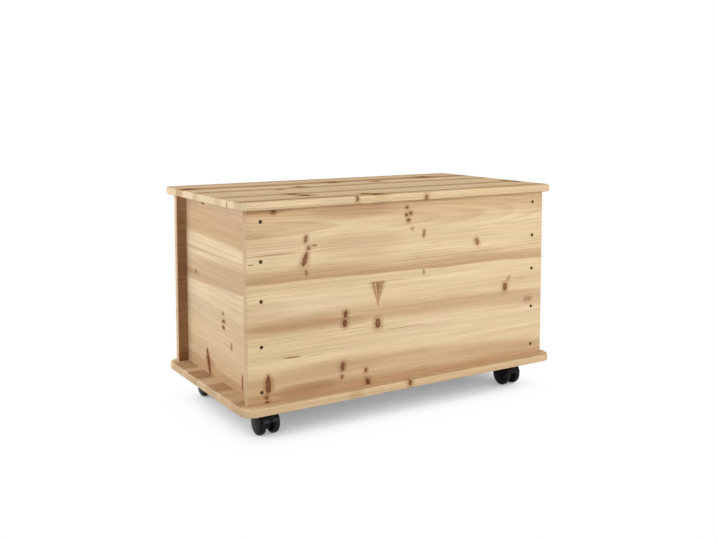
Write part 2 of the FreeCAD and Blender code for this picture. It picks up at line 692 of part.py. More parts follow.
def grip_ring(label):
    """Split spring ring, in the king pin's groove and in a wider groove of the socket."""
    body = new_body(label)
    pad(body, circles(body, "XY_Plane", "Places.ring_outer", [("0", "0")], "Places.ring_middle"),
        "Sizes.grip_ring_height", symmetric=True)
    pocket(body, circles(body, "XY_Plane", "Places.ring_inner", [("0", "0")], "Places.ring_middle"),
           "Sizes.grip_ring_height + Sizes.overrun", symmetric=True)
    slot = [("-Sizes.grip_ring_slot / 2", "0"), ("Sizes.grip_ring_slot / 2", "0"),
            ("Sizes.grip_ring_slot / 2", "Places.ring_outer + Sizes.overrun"),
            ("-Sizes.grip_ring_slot / 2", "Places.ring_outer + Sizes.overrun")]
    pocket(body, outline(body, "XY_Plane", slot, offset="Places.ring_middle"),
           "Sizes.grip_ring_height + Sizes.overrun", symmetric=True)
    return body


def caster_hood(label):
    """Moulded hood: a fender over both wheels, a web between them, and a socket for the king pin."""
    body = new_body(label)
    axle = ("Sizes.caster_trail", "Places.wheel_radius")
    # Fender: the upper part of a ring round the axle.
    pad(body, circles(body, "YZ_Plane", "Places.fender_outer", [axle]), "Sizes.fender_width", symmetric=True)
    far = "Places.fender_outer + Sizes.overrun"
    pocket(body, outline(body, "YZ_Plane", [
        (f"Sizes.caster_trail - ({far})", f"Places.wheel_radius - ({far})"),
        (f"Sizes.caster_trail + ({far})", f"Places.wheel_radius - ({far})"),
        (f"Sizes.caster_trail + ({far})", "Places.fender_cut"),
        (f"Sizes.caster_trail - ({far})", "Places.fender_cut"),
    ]), "Sizes.fender_width + Sizes.overrun", symmetric=True)
    # Neck under the plate, and the tube of the socket below it.
    pad(body, circles(body, "XY_Plane", "Sizes.hood_neck_diameter / 2", [("0", "0")], "Places.fender_cut"),
        "Places.hood_top - Places.fender_cut")
    # Wheel wells, cut outwards from both faces of the web.
    well = pocket(body, circles(body, "YZ_Plane", "Places.fender_inner", [axle], "Places.web_thickness / 2"),
                  reverse=True)
    wells = body.newObject("PartDesign::Mirrored", f"{body.Name}_wells")
    wells.Originals = [well]
    wells.MirrorPlane = (origin_of(body, "YZ_Plane"), [""])
    body.Tip = wells
    doc.recompute()
    # Web: a round hub about the axle, drawn up to the fender's front and rear.
    rise = "Sizes.web_front_rise"
    hub = "Sizes.web_hub_radius"
    rear_top = f"Places.wheel_radius + sqrt(Places.fender_middle ^ 2 - {hub} ^ 2)"
    front_end = f"Sizes.caster_trail - sqrt(Places.fender_middle ^ 2 - {rise} ^ 2)"
    pad(body, outline(body, "YZ_Plane", [
        (f"Sizes.caster_trail - {hub}", "Places.wheel_radius"),
        (f"Sizes.caster_trail + {hub}", "Places.wheel_radius"),
        (f"Sizes.caster_trail + {hub}", rear_top),
        (front_end, f"Places.wheel_radius + {rise}"),
    ], {
        0: ("Sizes.caster_trail", f"Places.wheel_radius - {hub}"),
        2: ("Sizes.caster_trail", "Places.wheel_radius + Places.fender_middle"),
    }), "Places.web_thickness", symmetric=True)
    # Socket, the ring's groove in it, and the axle's hole.
    pocket(body, circles(body, "XY_Plane", "Places.socket_radius", [("0", "0")], "Places.hood_top"),
           "Sizes.king_pin_reach + Sizes.socket_end_gap")
    groove_wall = "Places.ring_outer + Sizes.moving_gap"
    turn(body, outline(body, "XZ_Plane", [
        ("0", "Places.ring_middle - Places.ring_groove / 2"),
        (groove_wall, "Places.ring_middle - Places.ring_groove / 2"),
        (groove_wall, "Places.ring_middle + Places.ring_groove / 2"),
        ("0", "Places.ring_middle + Places.ring_groove / 2"),
    ]), "Z_Axis", "Groove")
    drilled = pocket(body, circles(body, "YZ_Plane", "Places.wheel_bore", [axle]),
                     "Sizes.fender_width + Sizes.overrun", symmetric=True)
    near = SIZES["running_clearance"]

    def on_fender_end(edge):
        if edge.Curve.TypeId != "Part::GeomCircle":
            return False
        at_end = abs(abs(edge.CenterOfMass.x) - value("fender_width") / 2) < near
        return at_end and abs(edge.Curve.Radius - value("fender_outer")) < near

    round_edges(body, drilled, "Sizes.fender_edge_radius", on_fender_end)
    return body


def caster_axle(label):
    """Steel pin through the web, with a groove near each end that a rib in the wheel's hub snaps into."""
    body = new_body(label)
    radius = "Sizes.axle_diameter / 2"
    groove = f"{radius} - Sizes.snap_depth"
    snap = "Sizes.snap_width / 2"
    turn(body, outline(body, "XY_Plane", [
        ("-Places.axle_half", "0"),
        ("-Places.axle_half", f"{radius} - Sizes.axle_chamfer"),
        ("Sizes.axle_chamfer - Places.axle_half", radius),
        (f"-Places.snap_middle - {snap}", radius),
        (f"-Places.snap_middle - {snap}", groove),
        (f"-Places.snap_middle + {snap}", groove),
        (f"-Places.snap_middle + {snap}", radius),
        (f"Places.snap_middle - {snap}", radius),
        (f"Places.snap_middle - {snap}", groove),
        (f"Places.snap_middle + {snap}", groove),
        (f"Places.snap_middle + {snap}", radius),
        ("Places.axle_half - Sizes.axle_chamfer", radius),
        ("Places.axle_half", f"{radius} - Sizes.axle_chamfer"),
        ("Places.axle_half", "0"),
    ]), "X_Axis")
    return body


def caster_wheel(label):
    """Moulded wheel on the axle's +X half: domed outside, hollow inside, with a blind hub."""
    body = new_body(label)
    hub = "Sizes.wheel_hub_diameter / 2"
    rim = "Places.wheel_radius - Sizes.wheel_rim"
    middle = "Places.wheel_radius / 2"
    dome_at_middle = f"sqrt(Places.dome_radius ^ 2 - ({middle}) ^ 2)"
    rib = "Places.wheel_bore - Sizes.snap_depth"
    snap = "Sizes.snap_width / 2 - Sizes.moving_gap"
    turned = turn(body, outline(body, "XY_Plane", [
        ("Places.wheel_inside", "Places.wheel_bore"),
        ("Places.wheel_inside", hub),
        ("Places.wheel_outside - Sizes.wheel_wall", hub),
        ("Places.wheel_edge - Sizes.wheel_wall", rim),
        ("Places.wheel_inside", rim),
        ("Places.wheel_inside", "Places.wheel_radius"),
        ("Places.wheel_edge", "Places.wheel_radius"),
        ("Places.wheel_outside", "0"),
        ("Places.wheel_bore_end", "0"),
        ("Places.wheel_bore_end", "Places.wheel_bore"),
        (f"Places.snap_middle + {snap}", "Places.wheel_bore"),
        (f"Places.snap_middle + {snap}", rib),
        (f"Places.snap_middle - ({snap})", rib),
        (f"Places.snap_middle - ({snap})", "Places.wheel_bore"),
    ], {
        6: (f"Places.wheel_outside - Places.dome_radius + {dome_at_middle}", middle),
    }), "X_Axis")
    near = SIZES["running_clearance"]

    def on_tread(edge, x):
        reach = max(edge.BoundBox.YMax, edge.BoundBox.ZMax)
        return abs(reach - value("wheel_radius")) < near and abs(edge.CenterOfMass.x - x) < near

    outer = round_edges(body, turned, "Sizes.wheel_outer_round",
                        lambda edge: on_tread(edge, value("wheel_edge")))
    round_edges(body, outer, "min(Sizes.wheel_inner_round; Sizes.wheel_rim - Sizes.moving_gap)",
                lambda edge: on_tread(edge, value("wheel_inside")))
    return body


# The wheels of each caster trail towards the middle of the chest.
for end_name, end_sign, end_turn in (("front", "-", 0), ("rear", "+", HALF_TURN)):
    for side_name, side_sign in SIDES:
        caster = f"{end_name}_{side_name}_caster"
        facing = Rotation(UP, end_turn)
        swivel = (f"{side_sign}Places.caster_x", f"Places.carcass_y {end_sign} Places.caster_y")
        trail = "-" if end_sign == "+" else "+"
        axle_place = (swivel[0], f"{swivel[1]} {trail} Sizes.caster_trail", "Places.wheel_radius")
        for make in (caster_plate, king_pin, grip_ring, caster_hood):
            piece = make.__name__.removeprefix("caster_")
            place(make(f"{caster}_{piece}"), *swivel, "0", facing)
        place(caster_axle(f"{caster}_axle"), *axle_place)
        for wheel_name, wheel_turn in (("left", HALF_TURN), ("right", 0)):
            wheel = caster_wheel(f"{caster}_{wheel_name}_wheel")
            place(wheel, *axle_place, Rotation(UP, wheel_turn))

doc.recompute()

# Nothing is written unless every object computed and every cut took material away.
failed = [item.Label for item in doc.Objects if {"Invalid", "Error"} & set(item.State)]
cuts = [item for item in doc.Objects if item.TypeId.split("::")[-1] in ("Pocket", "Hole", "Groove")]
failed += [cut.Label for cut in cuts if not cut.Shape.Volume < cut.BaseFeature.Shape.Volume]
failed += [node.Label for node in nodes if node.Shape.isNull() or not node.Shape.isValid()]
if failed:
    raise RuntimeError(f"these did not compute: {failed}")

os.makedirs("parts", exist_ok=True)
for node in nodes:
    node.Shape.exportStep(f"parts/{node.Label}.step")
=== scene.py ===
import math

import bmesh
import bpy
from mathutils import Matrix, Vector


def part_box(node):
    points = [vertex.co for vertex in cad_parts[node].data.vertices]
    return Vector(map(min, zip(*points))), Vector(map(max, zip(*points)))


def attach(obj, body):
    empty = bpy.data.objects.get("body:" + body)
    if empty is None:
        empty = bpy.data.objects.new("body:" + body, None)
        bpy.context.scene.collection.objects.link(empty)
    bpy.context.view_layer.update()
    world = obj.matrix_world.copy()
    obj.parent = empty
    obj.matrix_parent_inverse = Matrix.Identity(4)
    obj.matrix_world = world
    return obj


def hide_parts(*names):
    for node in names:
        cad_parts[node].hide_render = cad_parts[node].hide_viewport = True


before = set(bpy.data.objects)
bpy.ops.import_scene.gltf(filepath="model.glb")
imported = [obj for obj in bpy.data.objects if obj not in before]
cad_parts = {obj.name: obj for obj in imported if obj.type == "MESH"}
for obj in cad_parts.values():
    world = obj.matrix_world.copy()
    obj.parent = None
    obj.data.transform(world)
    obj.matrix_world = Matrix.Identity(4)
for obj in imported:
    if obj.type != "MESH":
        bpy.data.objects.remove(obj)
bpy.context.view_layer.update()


# Base board
# An edge-glued pine board with its corners cut round and its top edge routed over.
# It carries the carcass on its upper side and the casters below, and is finished with satin lacquer.

MM = 0.001


def feed(tree, socket, value):
    """Wire a socket to another one, or set it to a plain value."""
    if isinstance(value, bpy.types.NodeSocket):
        tree.links.new(value, socket)
    else:
        socket.default_value = value


def add(tree, kind, inputs=(), **settings):
    """A node with its settings, and its inputs given by name or number."""
    node = tree.nodes.new(kind)
    for name, value in settings.items():
        setattr(node, name, value)
    for key, value in dict(inputs).items():
        feed(tree, node.inputs[key], value)
    return node


def calc(tree, operation, *values):
    """The result of a sum on up to three values."""
    return add(tree, "ShaderNodeMath", enumerate(values), operation=operation).outputs[0]


def ease(tree, value, start, end):
    """A smooth step that is 0 at start and 1 at end."""
    inputs = {"Value": value, "From Min": start, "From Max": end}
    return add(tree, "ShaderNodeMapRange", inputs, interpolation_type="SMOOTHSTEP").outputs["Result"]


def blend(tree, factor, first, second, mode="MIX"):
    """Two colours mixed by a factor."""
    node = add(tree, "ShaderNodeMix", data_type="RGBA", blend_type=mode)
    for name, value in (("Factor_Float", factor), ("A_Color", first), ("B_Color", second)):
        feed(tree, next(socket for socket in node.inputs if socket.identifier == name), value)
    return next(socket for socket in node.outputs if socket.identifier == "Result_Color")


def together(tree, *parts):
    """Three values as one vector."""
    return add(tree, "ShaderNodeCombineXYZ", enumerate(parts)).outputs[0]


def cloud(tree, vector, stretch, seed=0.0, detail=2.0):
    """Soft noise about zero, stretched along each axis by waves to the metre."""
    scaled = add(tree, "ShaderNodeVectorMath", {0: vector, 1: stretch}, operation="MULTIPLY").outputs[0]
    inputs = {"Vector": scaled, "W": seed, "Scale": 1.0, "Detail": detail}
    node = add(tree, "ShaderNodeTexNoise", inputs, noise_dimensions="4D")
    return calc(tree, "SUBTRACT", node.outputs["Fac"], 0.5)


def new_group(name, inputs, outputs):
    """An empty shader group, with its input sockets' outlets and its output sockets."""
    tree = bpy.data.node_groups.new(name, "ShaderNodeTree")
    for label, default in inputs.items():
        size = len(default) if isinstance(default, tuple) else 1
        kind = {1: "NodeSocketFloat", 3: "NodeSocketVector", 4: "NodeSocketColor"}[size]
        tree.interface.new_socket(label, in_out="INPUT", socket_type=kind).default_value = default
    for label, kind in outputs.items():
        tree.interface.new_socket(label, in_out="OUTPUT", socket_type=f"NodeSocket{kind}")
    return tree, tree.nodes.new("NodeGroupInput").outputs, tree.nodes.new("NodeGroupOutput").inputs


def use_group(tree, group, inputs):
    """A group placed in a tree, with its inputs; gives its outlets."""
    node = add(tree, "ShaderNodeGroup", node_tree=group)
    for label, value in inputs.items():
        feed(tree, node.inputs[label], value)
    return node.outputs


# A knot's outline: 2 would be an oval, and larger values come nearer to a rounded block.
KNOT_FULLNESS = 2.6


def make_knot_group():
    """A branch knot: a core with a dark rim, a reddish surround, and the grain pushed aside round it."""
    tree, given, result = new_group("pine_knot", {
        "Along": 0.0, "Across": 0.0, "Through": 0.0, "Wobble": 0.0, "Centre Along": 0.0, "Centre Across": 0.0,
        "Centre Through": 0.0, "Half Along": 0.005, "Half Across": 0.008, "Half Through": 1.0, "Lean": 0.0,
        "Taper": 0.0, "Strength": 1.0, "Dark": 0.0, "Halo": 0.0, "Bend": 0.0,
    }, {"Dark": "Float", "Halo": "Float", "Bend": "Float"})
    rise = calc(tree, "SUBTRACT", given["Across"], given["Centre Across"])
    leaning = calc(tree, "MULTIPLY_ADD", rise, given["Lean"], given["Centre Along"])
    side = calc(tree, "SUBTRACT", given["Along"], leaning)
    share = calc(tree, "DIVIDE", rise, given["Half Across"])
    width = calc(tree, "MAXIMUM", calc(tree, "MULTIPLY_ADD", share, given["Taper"], 1.0), 0.3)
    deep = calc(tree, "SUBTRACT", given["Through"], given["Centre Through"])
    thick = calc(tree, "MINIMUM", given["Half Along"], given["Half Across"])

    def distance_out(margin):
        """Distance from the middle, as a share of the knot's half sizes and a margin all round."""
        total = 0.0
        for offset, half in ((calc(tree, "DIVIDE", side, width), "Half Along"), (rise, "Half Across"),
                             (deep, "Half Through")):
            part = calc(tree, "DIVIDE", offset, calc(tree, "MULTIPLY_ADD", thick, margin, given[half]))
            total = calc(tree, "ADD", calc(tree, "POWER", calc(tree, "ABSOLUTE", part), KNOT_FULLNESS), total)
        return calc(tree, "POWER", total, 1 / KNOT_FULLNESS)

    distance = calc(tree, "ADD", distance_out(0.0), given["Wobble"])
    rim = calc(tree, "MULTIPLY_ADD", ease(tree, distance, 0.3, 0.9), 0.4, 0.6)
    core = calc(tree, "MULTIPLY", ease(tree, distance, 1.25, 0.75), rim)
    core = calc(tree, "MULTIPLY", core, given["Strength"])
    feed(tree, result["Dark"], calc(tree, "MAXIMUM", core, given["Dark"]))
    spread = calc(tree, "MULTIPLY_ADD", given["Wobble"], 0.3, distance_out(2.5))
    near = calc(tree, "MULTIPLY", ease(tree, spread, 1.0, 0.25), given["Strength"])
    feed(tree, result["Halo"], calc(tree, "MAXIMUM", near, given["Halo"]))
    by_side = calc(tree, "POWER", calc(tree, "DIVIDE", side, calc(tree, "MULTIPLY", thick, 6.0)), 2.0)
    by_rise = calc(tree, "POWER", calc(tree, "DIVIDE", rise, calc(tree, "MULTIPLY", thick, 3.5)), 2.0)
    close = ease(tree, calc(tree, "ADD", by_side, by_rise), 1.0, 0.0)
    push = calc(tree, "MULTIPLY", calc(tree, "MULTIPLY", rise, close), -0.6)
    feed(tree, result["Bend"], calc(tree, "ADD", push, given["Bend"]))
    return tree


def make_spike_group():
    """A branch sawn along its length: a fan of dark lines that opens from a tip to a straight cut end."""
    tree, given, result = new_group("pine_spike", {
        "Along": 0.0, "Across": 0.0, "Wobble": 0.0, "Centre Along": 0.0, "Tip": 0.0, "End": 0.05,
        "Half Along": 0.01, "Strength": 1.0, "Dark": 0.0, "Halo": 0.0,
    }, {"Dark": "Float", "Halo": "Float"})
    length = calc(tree, "SUBTRACT", given["End"], given["Tip"])
    share = calc(tree, "DIVIDE", calc(tree, "SUBTRACT", given["Across"], given["Tip"]), length)
    width = calc(tree, "MULTIPLY", given["Half Along"], calc(tree, "MAXIMUM", share, 0.1))
    reach = calc(tree, "DIVIDE", calc(tree, "SUBTRACT", given["Along"], given["Centre Along"]), width)
    reach = calc(tree, "MULTIPLY_ADD", given["Wobble"], 0.6, reach)
    out = calc(tree, "ABSOLUTE", reach)
    kept = calc(tree, "MULTIPLY", ease(tree, share, -0.1, 0.1), ease(tree, share, 1.03, 0.97))
    fan = calc(tree, "MULTIPLY", calc(tree, "MULTIPLY", ease(tree, out, 1.2, 0.85), kept), given["Strength"])
    lines = calc(tree, "MULTIPLY_ADD", calc(tree, "COSINE", calc(tree, "MULTIPLY", reach, 8.5)), 0.25, 0.36)
    feed(tree, result["Dark"], calc(tree, "MAXIMUM", calc(tree, "MULTIPLY", fan, lines), given["Dark"]))
    near = calc(tree, "MULTIPLY", calc(tree, "MULTIPLY", ease(tree, out, 1.8, 0.7), kept), given["Strength"])
    feed(tree, result["Halo"], calc(tree, "MAXIMUM", near, given["Halo"]))
    return tree


def make_heart_and_shade_group():
    """A darker band that wanders along the board, with its own softness on each side; most are heartwood, a
    few are painted shade.
    """
    tree, given, result = new_group("pine_heart_and_shade", {
        "Along": 0.0, "Across": 0.0, "Wander": 0.0, "Low": 0.0, "High": 0.01, "Slope": 0.0, "Bow": 0.0,
        "Soft Low": 0.01, "Soft High": 0.01, "Strength": 1.0, "Heart And Shade": 0.0,
    }, {"Heart And Shade": "Float"})
    climb = calc(tree, "MULTIPLY_ADD", given["Along"], given["Bow"], given["Slope"])
    level = calc(tree, "SUBTRACT", given["Across"], calc(tree, "MULTIPLY", given["Along"], climb))
    level = calc(tree, "ADD", level, given["Wander"])
    above = calc(tree, "DIVIDE", calc(tree, "SUBTRACT", level, given["Low"]), given["Soft Low"])
    below = calc(tree, "DIVIDE", calc(tree, "SUBTRACT", given["High"], level), given["Soft High"])
    band = calc(tree, "MULTIPLY", ease(tree, above, -0.5, 0.5), ease(tree, below, -0.5, 0.5))
    band = calc(tree, "MULTIPLY", band, given["Strength"])
    feed(tree, result["Heart And Shade"], calc(tree, "MAXIMUM", band, given["Heart And Shade"]))
    return tree


def make_patch_group():
    """A soft oval patch of darker colour: mostly darker wood, and on some boards painted shade."""
    tree, given, result = new_group("pine_patch", {
        "Along": 0.0, "Across": 0.0, "Through": 0.0, "Wander": 0.0, "Centre Along": 0.0, "Centre Across": 0.0,
        "Centre Through": 0.0, "Half Along": 0.1, "Half Across": 0.02, "Half Through": 1.0, "Strength": 1.0,
        "Heart And Shade": 0.0,
    }, {"Heart And Shade": "Float"})
    side = calc(tree, "SUBTRACT", given["Along"], given["Centre Along"])
    side = calc(tree, "DIVIDE", side, given["Half Along"])
    rise = calc(tree, "SUBTRACT", calc(tree, "ADD", given["Across"], given["Wander"]), given["Centre Across"])
    rise = calc(tree, "DIVIDE", rise, given["Half Across"])
    deep = calc(tree, "SUBTRACT", given["Through"], given["Centre Through"])
    deep = calc(tree, "DIVIDE", deep, given["Half Through"])
    square = calc(tree, "ADD", calc(tree, "POWER", side, 2.0), calc(tree, "POWER", rise, 2.0))
    square = calc(tree, "MULTIPLY_ADD", deep, deep, square)
    oval = calc(tree, "MULTIPLY", ease(tree, square, 1.0, 0.0), given["Strength"])
    feed(tree, result["Heart And Shade"], calc(tree, "MAXIMUM", oval, given["Heart And Shade"]))
    return tree


STAVE_VALUES = ("Pith Across", "Pith Depth", "Climb", "Ring Width", "Seed", "Tone")


def make_glue_group():
    """A glued joint: above its line the next stave's pith, ring width, seed and tone take over."""
    inputs = {"Across": 0.0, "Line": 0.0}
    for name in STAVE_VALUES:
        inputs[name] = 0.0
        inputs[f"Next {name}"] = 0.0
    tree, given, result = new_group("pine_glue", inputs, {name: "Float" for name in STAVE_VALUES})
    above = calc(tree, "GREATER_THAN", given["Across"], given["Line"])
    for name in STAVE_VALUES:
        change = calc(tree, "SUBTRACT", given[f"Next {name}"], given[name])
        feed(tree, result[name], calc(tree, "MULTIPLY_ADD", above, change, given[name]))
    return tree


def make_ring_group():
    """The growth rings of one stave, as shells round its pith, with fine fibres along the grain."""
    tree, given, result = new_group("pine_rings", {
        "Along": 0.0, "Across": 0.0, "Through": 0.0, "Pith Across": 0.0, "Pith Depth": 0.05,
        "Climb": 0.0, "Ring Width": 0.005, "Seed": 0.0,
    }, {"Late": "Float", "Fibre": "Float", "Drift": "Float", "Warm": "Float"})
    place = together(tree, given["Along"], given["Across"], given["Through"])
    seed = given["Seed"]
    slow = cloud(tree, place, (1.7, 5.0, 5.0), seed)
    quick = cloud(tree, place, (6.0, 22.0, 22.0), seed, 3.0)
    offset = calc(tree, "SUBTRACT", given["Across"], given["Pith Across"])
    offset = calc(tree, "MULTIPLY_ADD", slow, 0.012, offset)
    offset = calc(tree, "MULTIPLY_ADD", quick, 0.0035, offset)
    lift = cloud(tree, place, (2.6, 0.0, 0.0), calc(tree, "ADD", seed, 5.0), 1.0)
    depth = calc(tree, "ADD", calc(tree, "MULTIPLY_ADD", lift, 0.012, given["Pith Depth"]), given["Through"])
    depth = calc(tree, "MULTIPLY_ADD", given["Along"], given["Climb"], depth)
    square = calc(tree, "ADD", calc(tree, "POWER", offset, 2.0), calc(tree, "POWER", depth, 2.0))
    turns = calc(tree, "DIVIDE", calc(tree, "SQRT", square), given["Ring Width"])
    part = calc(tree, "FRACT", turns)
    late = calc(tree, "MULTIPLY", ease(tree, part, 0.25, 0.86), ease(tree, part, 1.0, 0.90))
    ring = calc(tree, "ADD", calc(tree, "FLOOR", turns), seed)
    vary = add(tree, "ShaderNodeTexWhiteNoise", {"W": ring}, noise_dimensions="1D").outputs["Value"]
    patchy = ease(tree, cloud(tree, place, (3.0, 14.0, 14.0), calc(tree, "ADD", seed, 9.0)), -0.22, 0.2)
    strength = calc(tree, "MULTIPLY", calc(tree, "MULTIPLY_ADD", vary, 0.75, 0.25), patchy)
    feed(tree, result["Late"], calc(tree, "MULTIPLY", late, strength))
    coarse = cloud(tree, place, (5.0, 190.0, 190.0), seed, 3.0)
    fine = cloud(tree, place, (16.0, 620.0, 620.0), seed, 2.0)
    feed(tree, result["Fibre"], calc(tree, "MULTIPLY_ADD", fine, 0.6, coarse))
    streak = cloud(tree, place, (2.2, 95.0, 95.0), calc(tree, "ADD", seed, 2.0), 3.0)
    broad = cloud(tree, place, (1.3, 38.0, 38.0), calc(tree, "ADD", seed, 3.0), 3.0)
    feed(tree, result["Drift"], calc(tree, "ADD", streak, broad))
    feed(tree, result["Warm"], cloud(tree, place, (4.0, 14.0, 14.0), calc(tree, "ADD", seed, 7.0), 2.0))
    return tree


def make_face_group():
    """Where a board shows end grain, and where its edges are rounded and rubbed."""
    tree, given, result = new_group("board_faces", {"Normal": (0.0, 0.0, 1.0), "Grain": (1.0, 0.0, 0.0)},
                                    {"End": "Float", "Rubbed": "Float"})
    pair = {0: given["Normal"], 1: given["Grain"]}
    along = add(tree, "ShaderNodeVectorMath", pair, operation="DOT_PRODUCT").outputs["Value"]
    feed(tree, result["End"], ease(tree, calc(tree, "ABSOLUTE", along), 0.45, 0.85))
    size = add(tree, "ShaderNodeVectorMath", {0: given["Normal"]}, operation="ABSOLUTE").outputs[0]
    part = add(tree, "ShaderNodeSeparateXYZ", {0: size}).outputs
    widest = calc(tree, "MAXIMUM", calc(tree, "MAXIMUM", part[0], part[1]), part[2])
    feed(tree, result["Rubbed"], ease(tree, widest, 0.985, 0.8))
    return tree


# What one measure of stain lets through of red, green and blue, and how much of it each part holds.
STAIN_PASSES = (0.65, 0.53, 0.467)
LATE_STAIN = 0.5
STREAK_STAIN = -0.55
HALO_STAIN = 0.8
KNOT_STAIN = 2.4


def make_finish_group():
    """Lacquered pine: pale sapwood darkened by its depth of stain, its gloss, and the relief of its grain.

    One measure of stain is what plain heartwood holds; the painted shade in the heart input is added as stain
    too. Stain shows less on end grain and on rubbed edges.
    """
    tree, given, result = new_group("pine_finish", {
        "Sapwood": (0.80, 0.615, 0.375, 1.0), "Heart And Shade": 0.0, "Late": 0.0, "Fibre": 0.0, "Drift": 0.0,
        "Warm": 0.0, "Figure": 1.0, "Tone": 0.0, "Dark": 0.0, "Halo": 0.0, "End": 0.0, "End Stain": 0.0,
        "Rubbed": 0.0,
    }, {"Color": "Color", "Roughness": "Float", "Height": "Float"})
    less_at_end = calc(tree, "MULTIPLY_ADD", given["End"], -0.6, 1.0)
    stain_and_shade = calc(tree, "MULTIPLY", given["Heart And Shade"], less_at_end)
    lines = calc(tree, "MULTIPLY", given["Late"], LATE_STAIN)
    lines = calc(tree, "MULTIPLY_ADD", given["Drift"], STREAK_STAIN, lines)
    lines = calc(tree, "MULTIPLY", lines, less_at_end)
    stain_and_shade = calc(tree, "MULTIPLY_ADD", lines, given["Figure"], stain_and_shade)
    stain_and_shade = calc(tree, "MULTIPLY_ADD", given["End"], given["End Stain"], stain_and_shade)
    stain_and_shade = calc(tree, "SUBTRACT", stain_and_shade, given["Tone"])
    stain_and_shade = calc(tree, "MULTIPLY", stain_and_shade, calc(tree, "MULTIPLY_ADD", given["Rubbed"], -0.3, 1.0))
    stain_and_shade = calc(tree, "MULTIPLY_ADD", given["Halo"], HALO_STAIN, stain_and_shade)
    stain_and_shade = calc(tree, "MULTIPLY_ADD", given["Dark"], KNOT_STAIN, stain_and_shade)
    less_blue = calc(tree, "MULTIPLY_ADD", given["Dark"], -0.25, stain_and_shade)
    depths = (stain_and_shade, stain_and_shade, less_blue)
    passed = [calc(tree, "POWER", share, depth) for share, depth in zip(STAIN_PASSES, depths)]
    level = calc(tree, "MULTIPLY_ADD", given["Fibre"], 0.44, 1.0)
    pale = calc(tree, "MULTIPLY_ADD", given["Warm"], 0.22, level)
    light = [calc(tree, "MULTIPLY", share, amount) for share, amount in zip(passed, (level, level, pale))]
    feed(tree, result["Color"], blend(tree, 1.0, given["Sapwood"], together(tree, *light), "MULTIPLY"))
    gloss = calc(tree, "MULTIPLY_ADD", given["Fibre"], 0.16, 0.62)
    feed(tree, result["Roughness"], calc(tree, "MULTIPLY_ADD", given["End"], 0.16, gloss))
    relief = calc(tree, "MULTIPLY_ADD", given["Late"], 0.35, given["Fibre"])
    feed(tree, result["Height"], calc(tree, "MULTIPLY_ADD", given["Dark"], -0.4, relief))
    return tree


KNOT_GROUP = make_knot_group()
SPIKE_GROUP = make_spike_group()
HEART_AND_SHADE_GROUP = make_heart_and_shade_group()
PATCH_GROUP = make_patch_group()
GLUE_GROUP = make_glue_group()
RING_GROUP = make_ring_group()
FACE_GROUP = make_face_group()
FINISH_GROUP = make_finish_group()
AXES = "XYZ"


def new_material(name):
    """A material, its node tree, and the outlets that tell the place and normal on a piece."""
    material = bpy.data.materials.new(name)
    material.use_nodes = True
    tree = material.node_tree
    return material, tree, tree.nodes.new("ShaderNodeTexCoord").outputs


def wire_finish(tree, finish, relief, relief_depth, shine):
    """Lead a finish's colour, roughness and relief to the material's shader; gives the shader."""
    shader = tree.nodes["Principled BSDF"]
    feed(tree, shader.inputs["Base Color"], finish["Color"])
    feed(tree, shader.inputs["Roughness"], finish["Roughness"])
    bump = add(tree, "ShaderNodeBump", {
        "Height": finish["Height"], "Strength": relief, "Distance": relief_depth})
    feed(tree, shader.inputs["Normal"], bump.outputs["Normal"])
    shader.inputs["Specular IOR Level"].default_value = shine
    return shader


def dress(material, *nodes):
    """Give CAD pieces a material of their own in place of the plain one."""
    for node in nodes:
        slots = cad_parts[node].data.materials
        slots.clear()
        slots.append(material)


# Depth of the middle and half size, in millimetres, of a knot or patch that runs right through its board.
RIGHT_THROUGH = (0, 1000)
# A heart whose edge is harder than this, in millimetres, ends at a glue line, which doesn't wander.
GLUE_EDGE = 3


def lay_knots(tree, run, rise, deep, wobble, knots, spikes):
    """How dark a board's knots and spikes are, the reddish wood round them, and how they bend the grain."""
    knotty = {"Dark": 0.0, "Halo": 0.0, "Bend": 0.0}
    for at_along, at_across, half_along, half_across, lean, taper, strength, *inside in knots:
        at_depth, half_depth = inside or RIGHT_THROUGH
        knotty = use_group(tree, KNOT_GROUP, {
            "Along": run, "Across": rise, "Through": deep, "Wobble": wobble, "Centre Along": at_along * MM,
            "Centre Across": at_across * MM, "Centre Through": at_depth * MM, "Half Along": half_along * MM,
            "Half Across": half_across * MM, "Half Through": half_depth * MM, "Lean": lean, "Taper": taper,
            "Strength": strength, "Dark": knotty["Dark"], "Halo": knotty["Halo"], "Bend": knotty["Bend"],
        })
    dark, halo = knotty["Dark"], knotty["Halo"]
    for at_along, tip, end, half_along, strength in spikes:
        spike = use_group(tree, SPIKE_GROUP, {
            "Along": run, "Across": rise, "Wobble": wobble, "Centre Along": at_along * MM, "Tip": tip * MM,
            "End": end * MM, "Half Along": half_along * MM, "Strength": strength, "Dark": dark, "Halo": halo,
        })
        dark, halo = spike["Dark"], spike["Halo"]
    return dark, halo, knotty["Bend"]


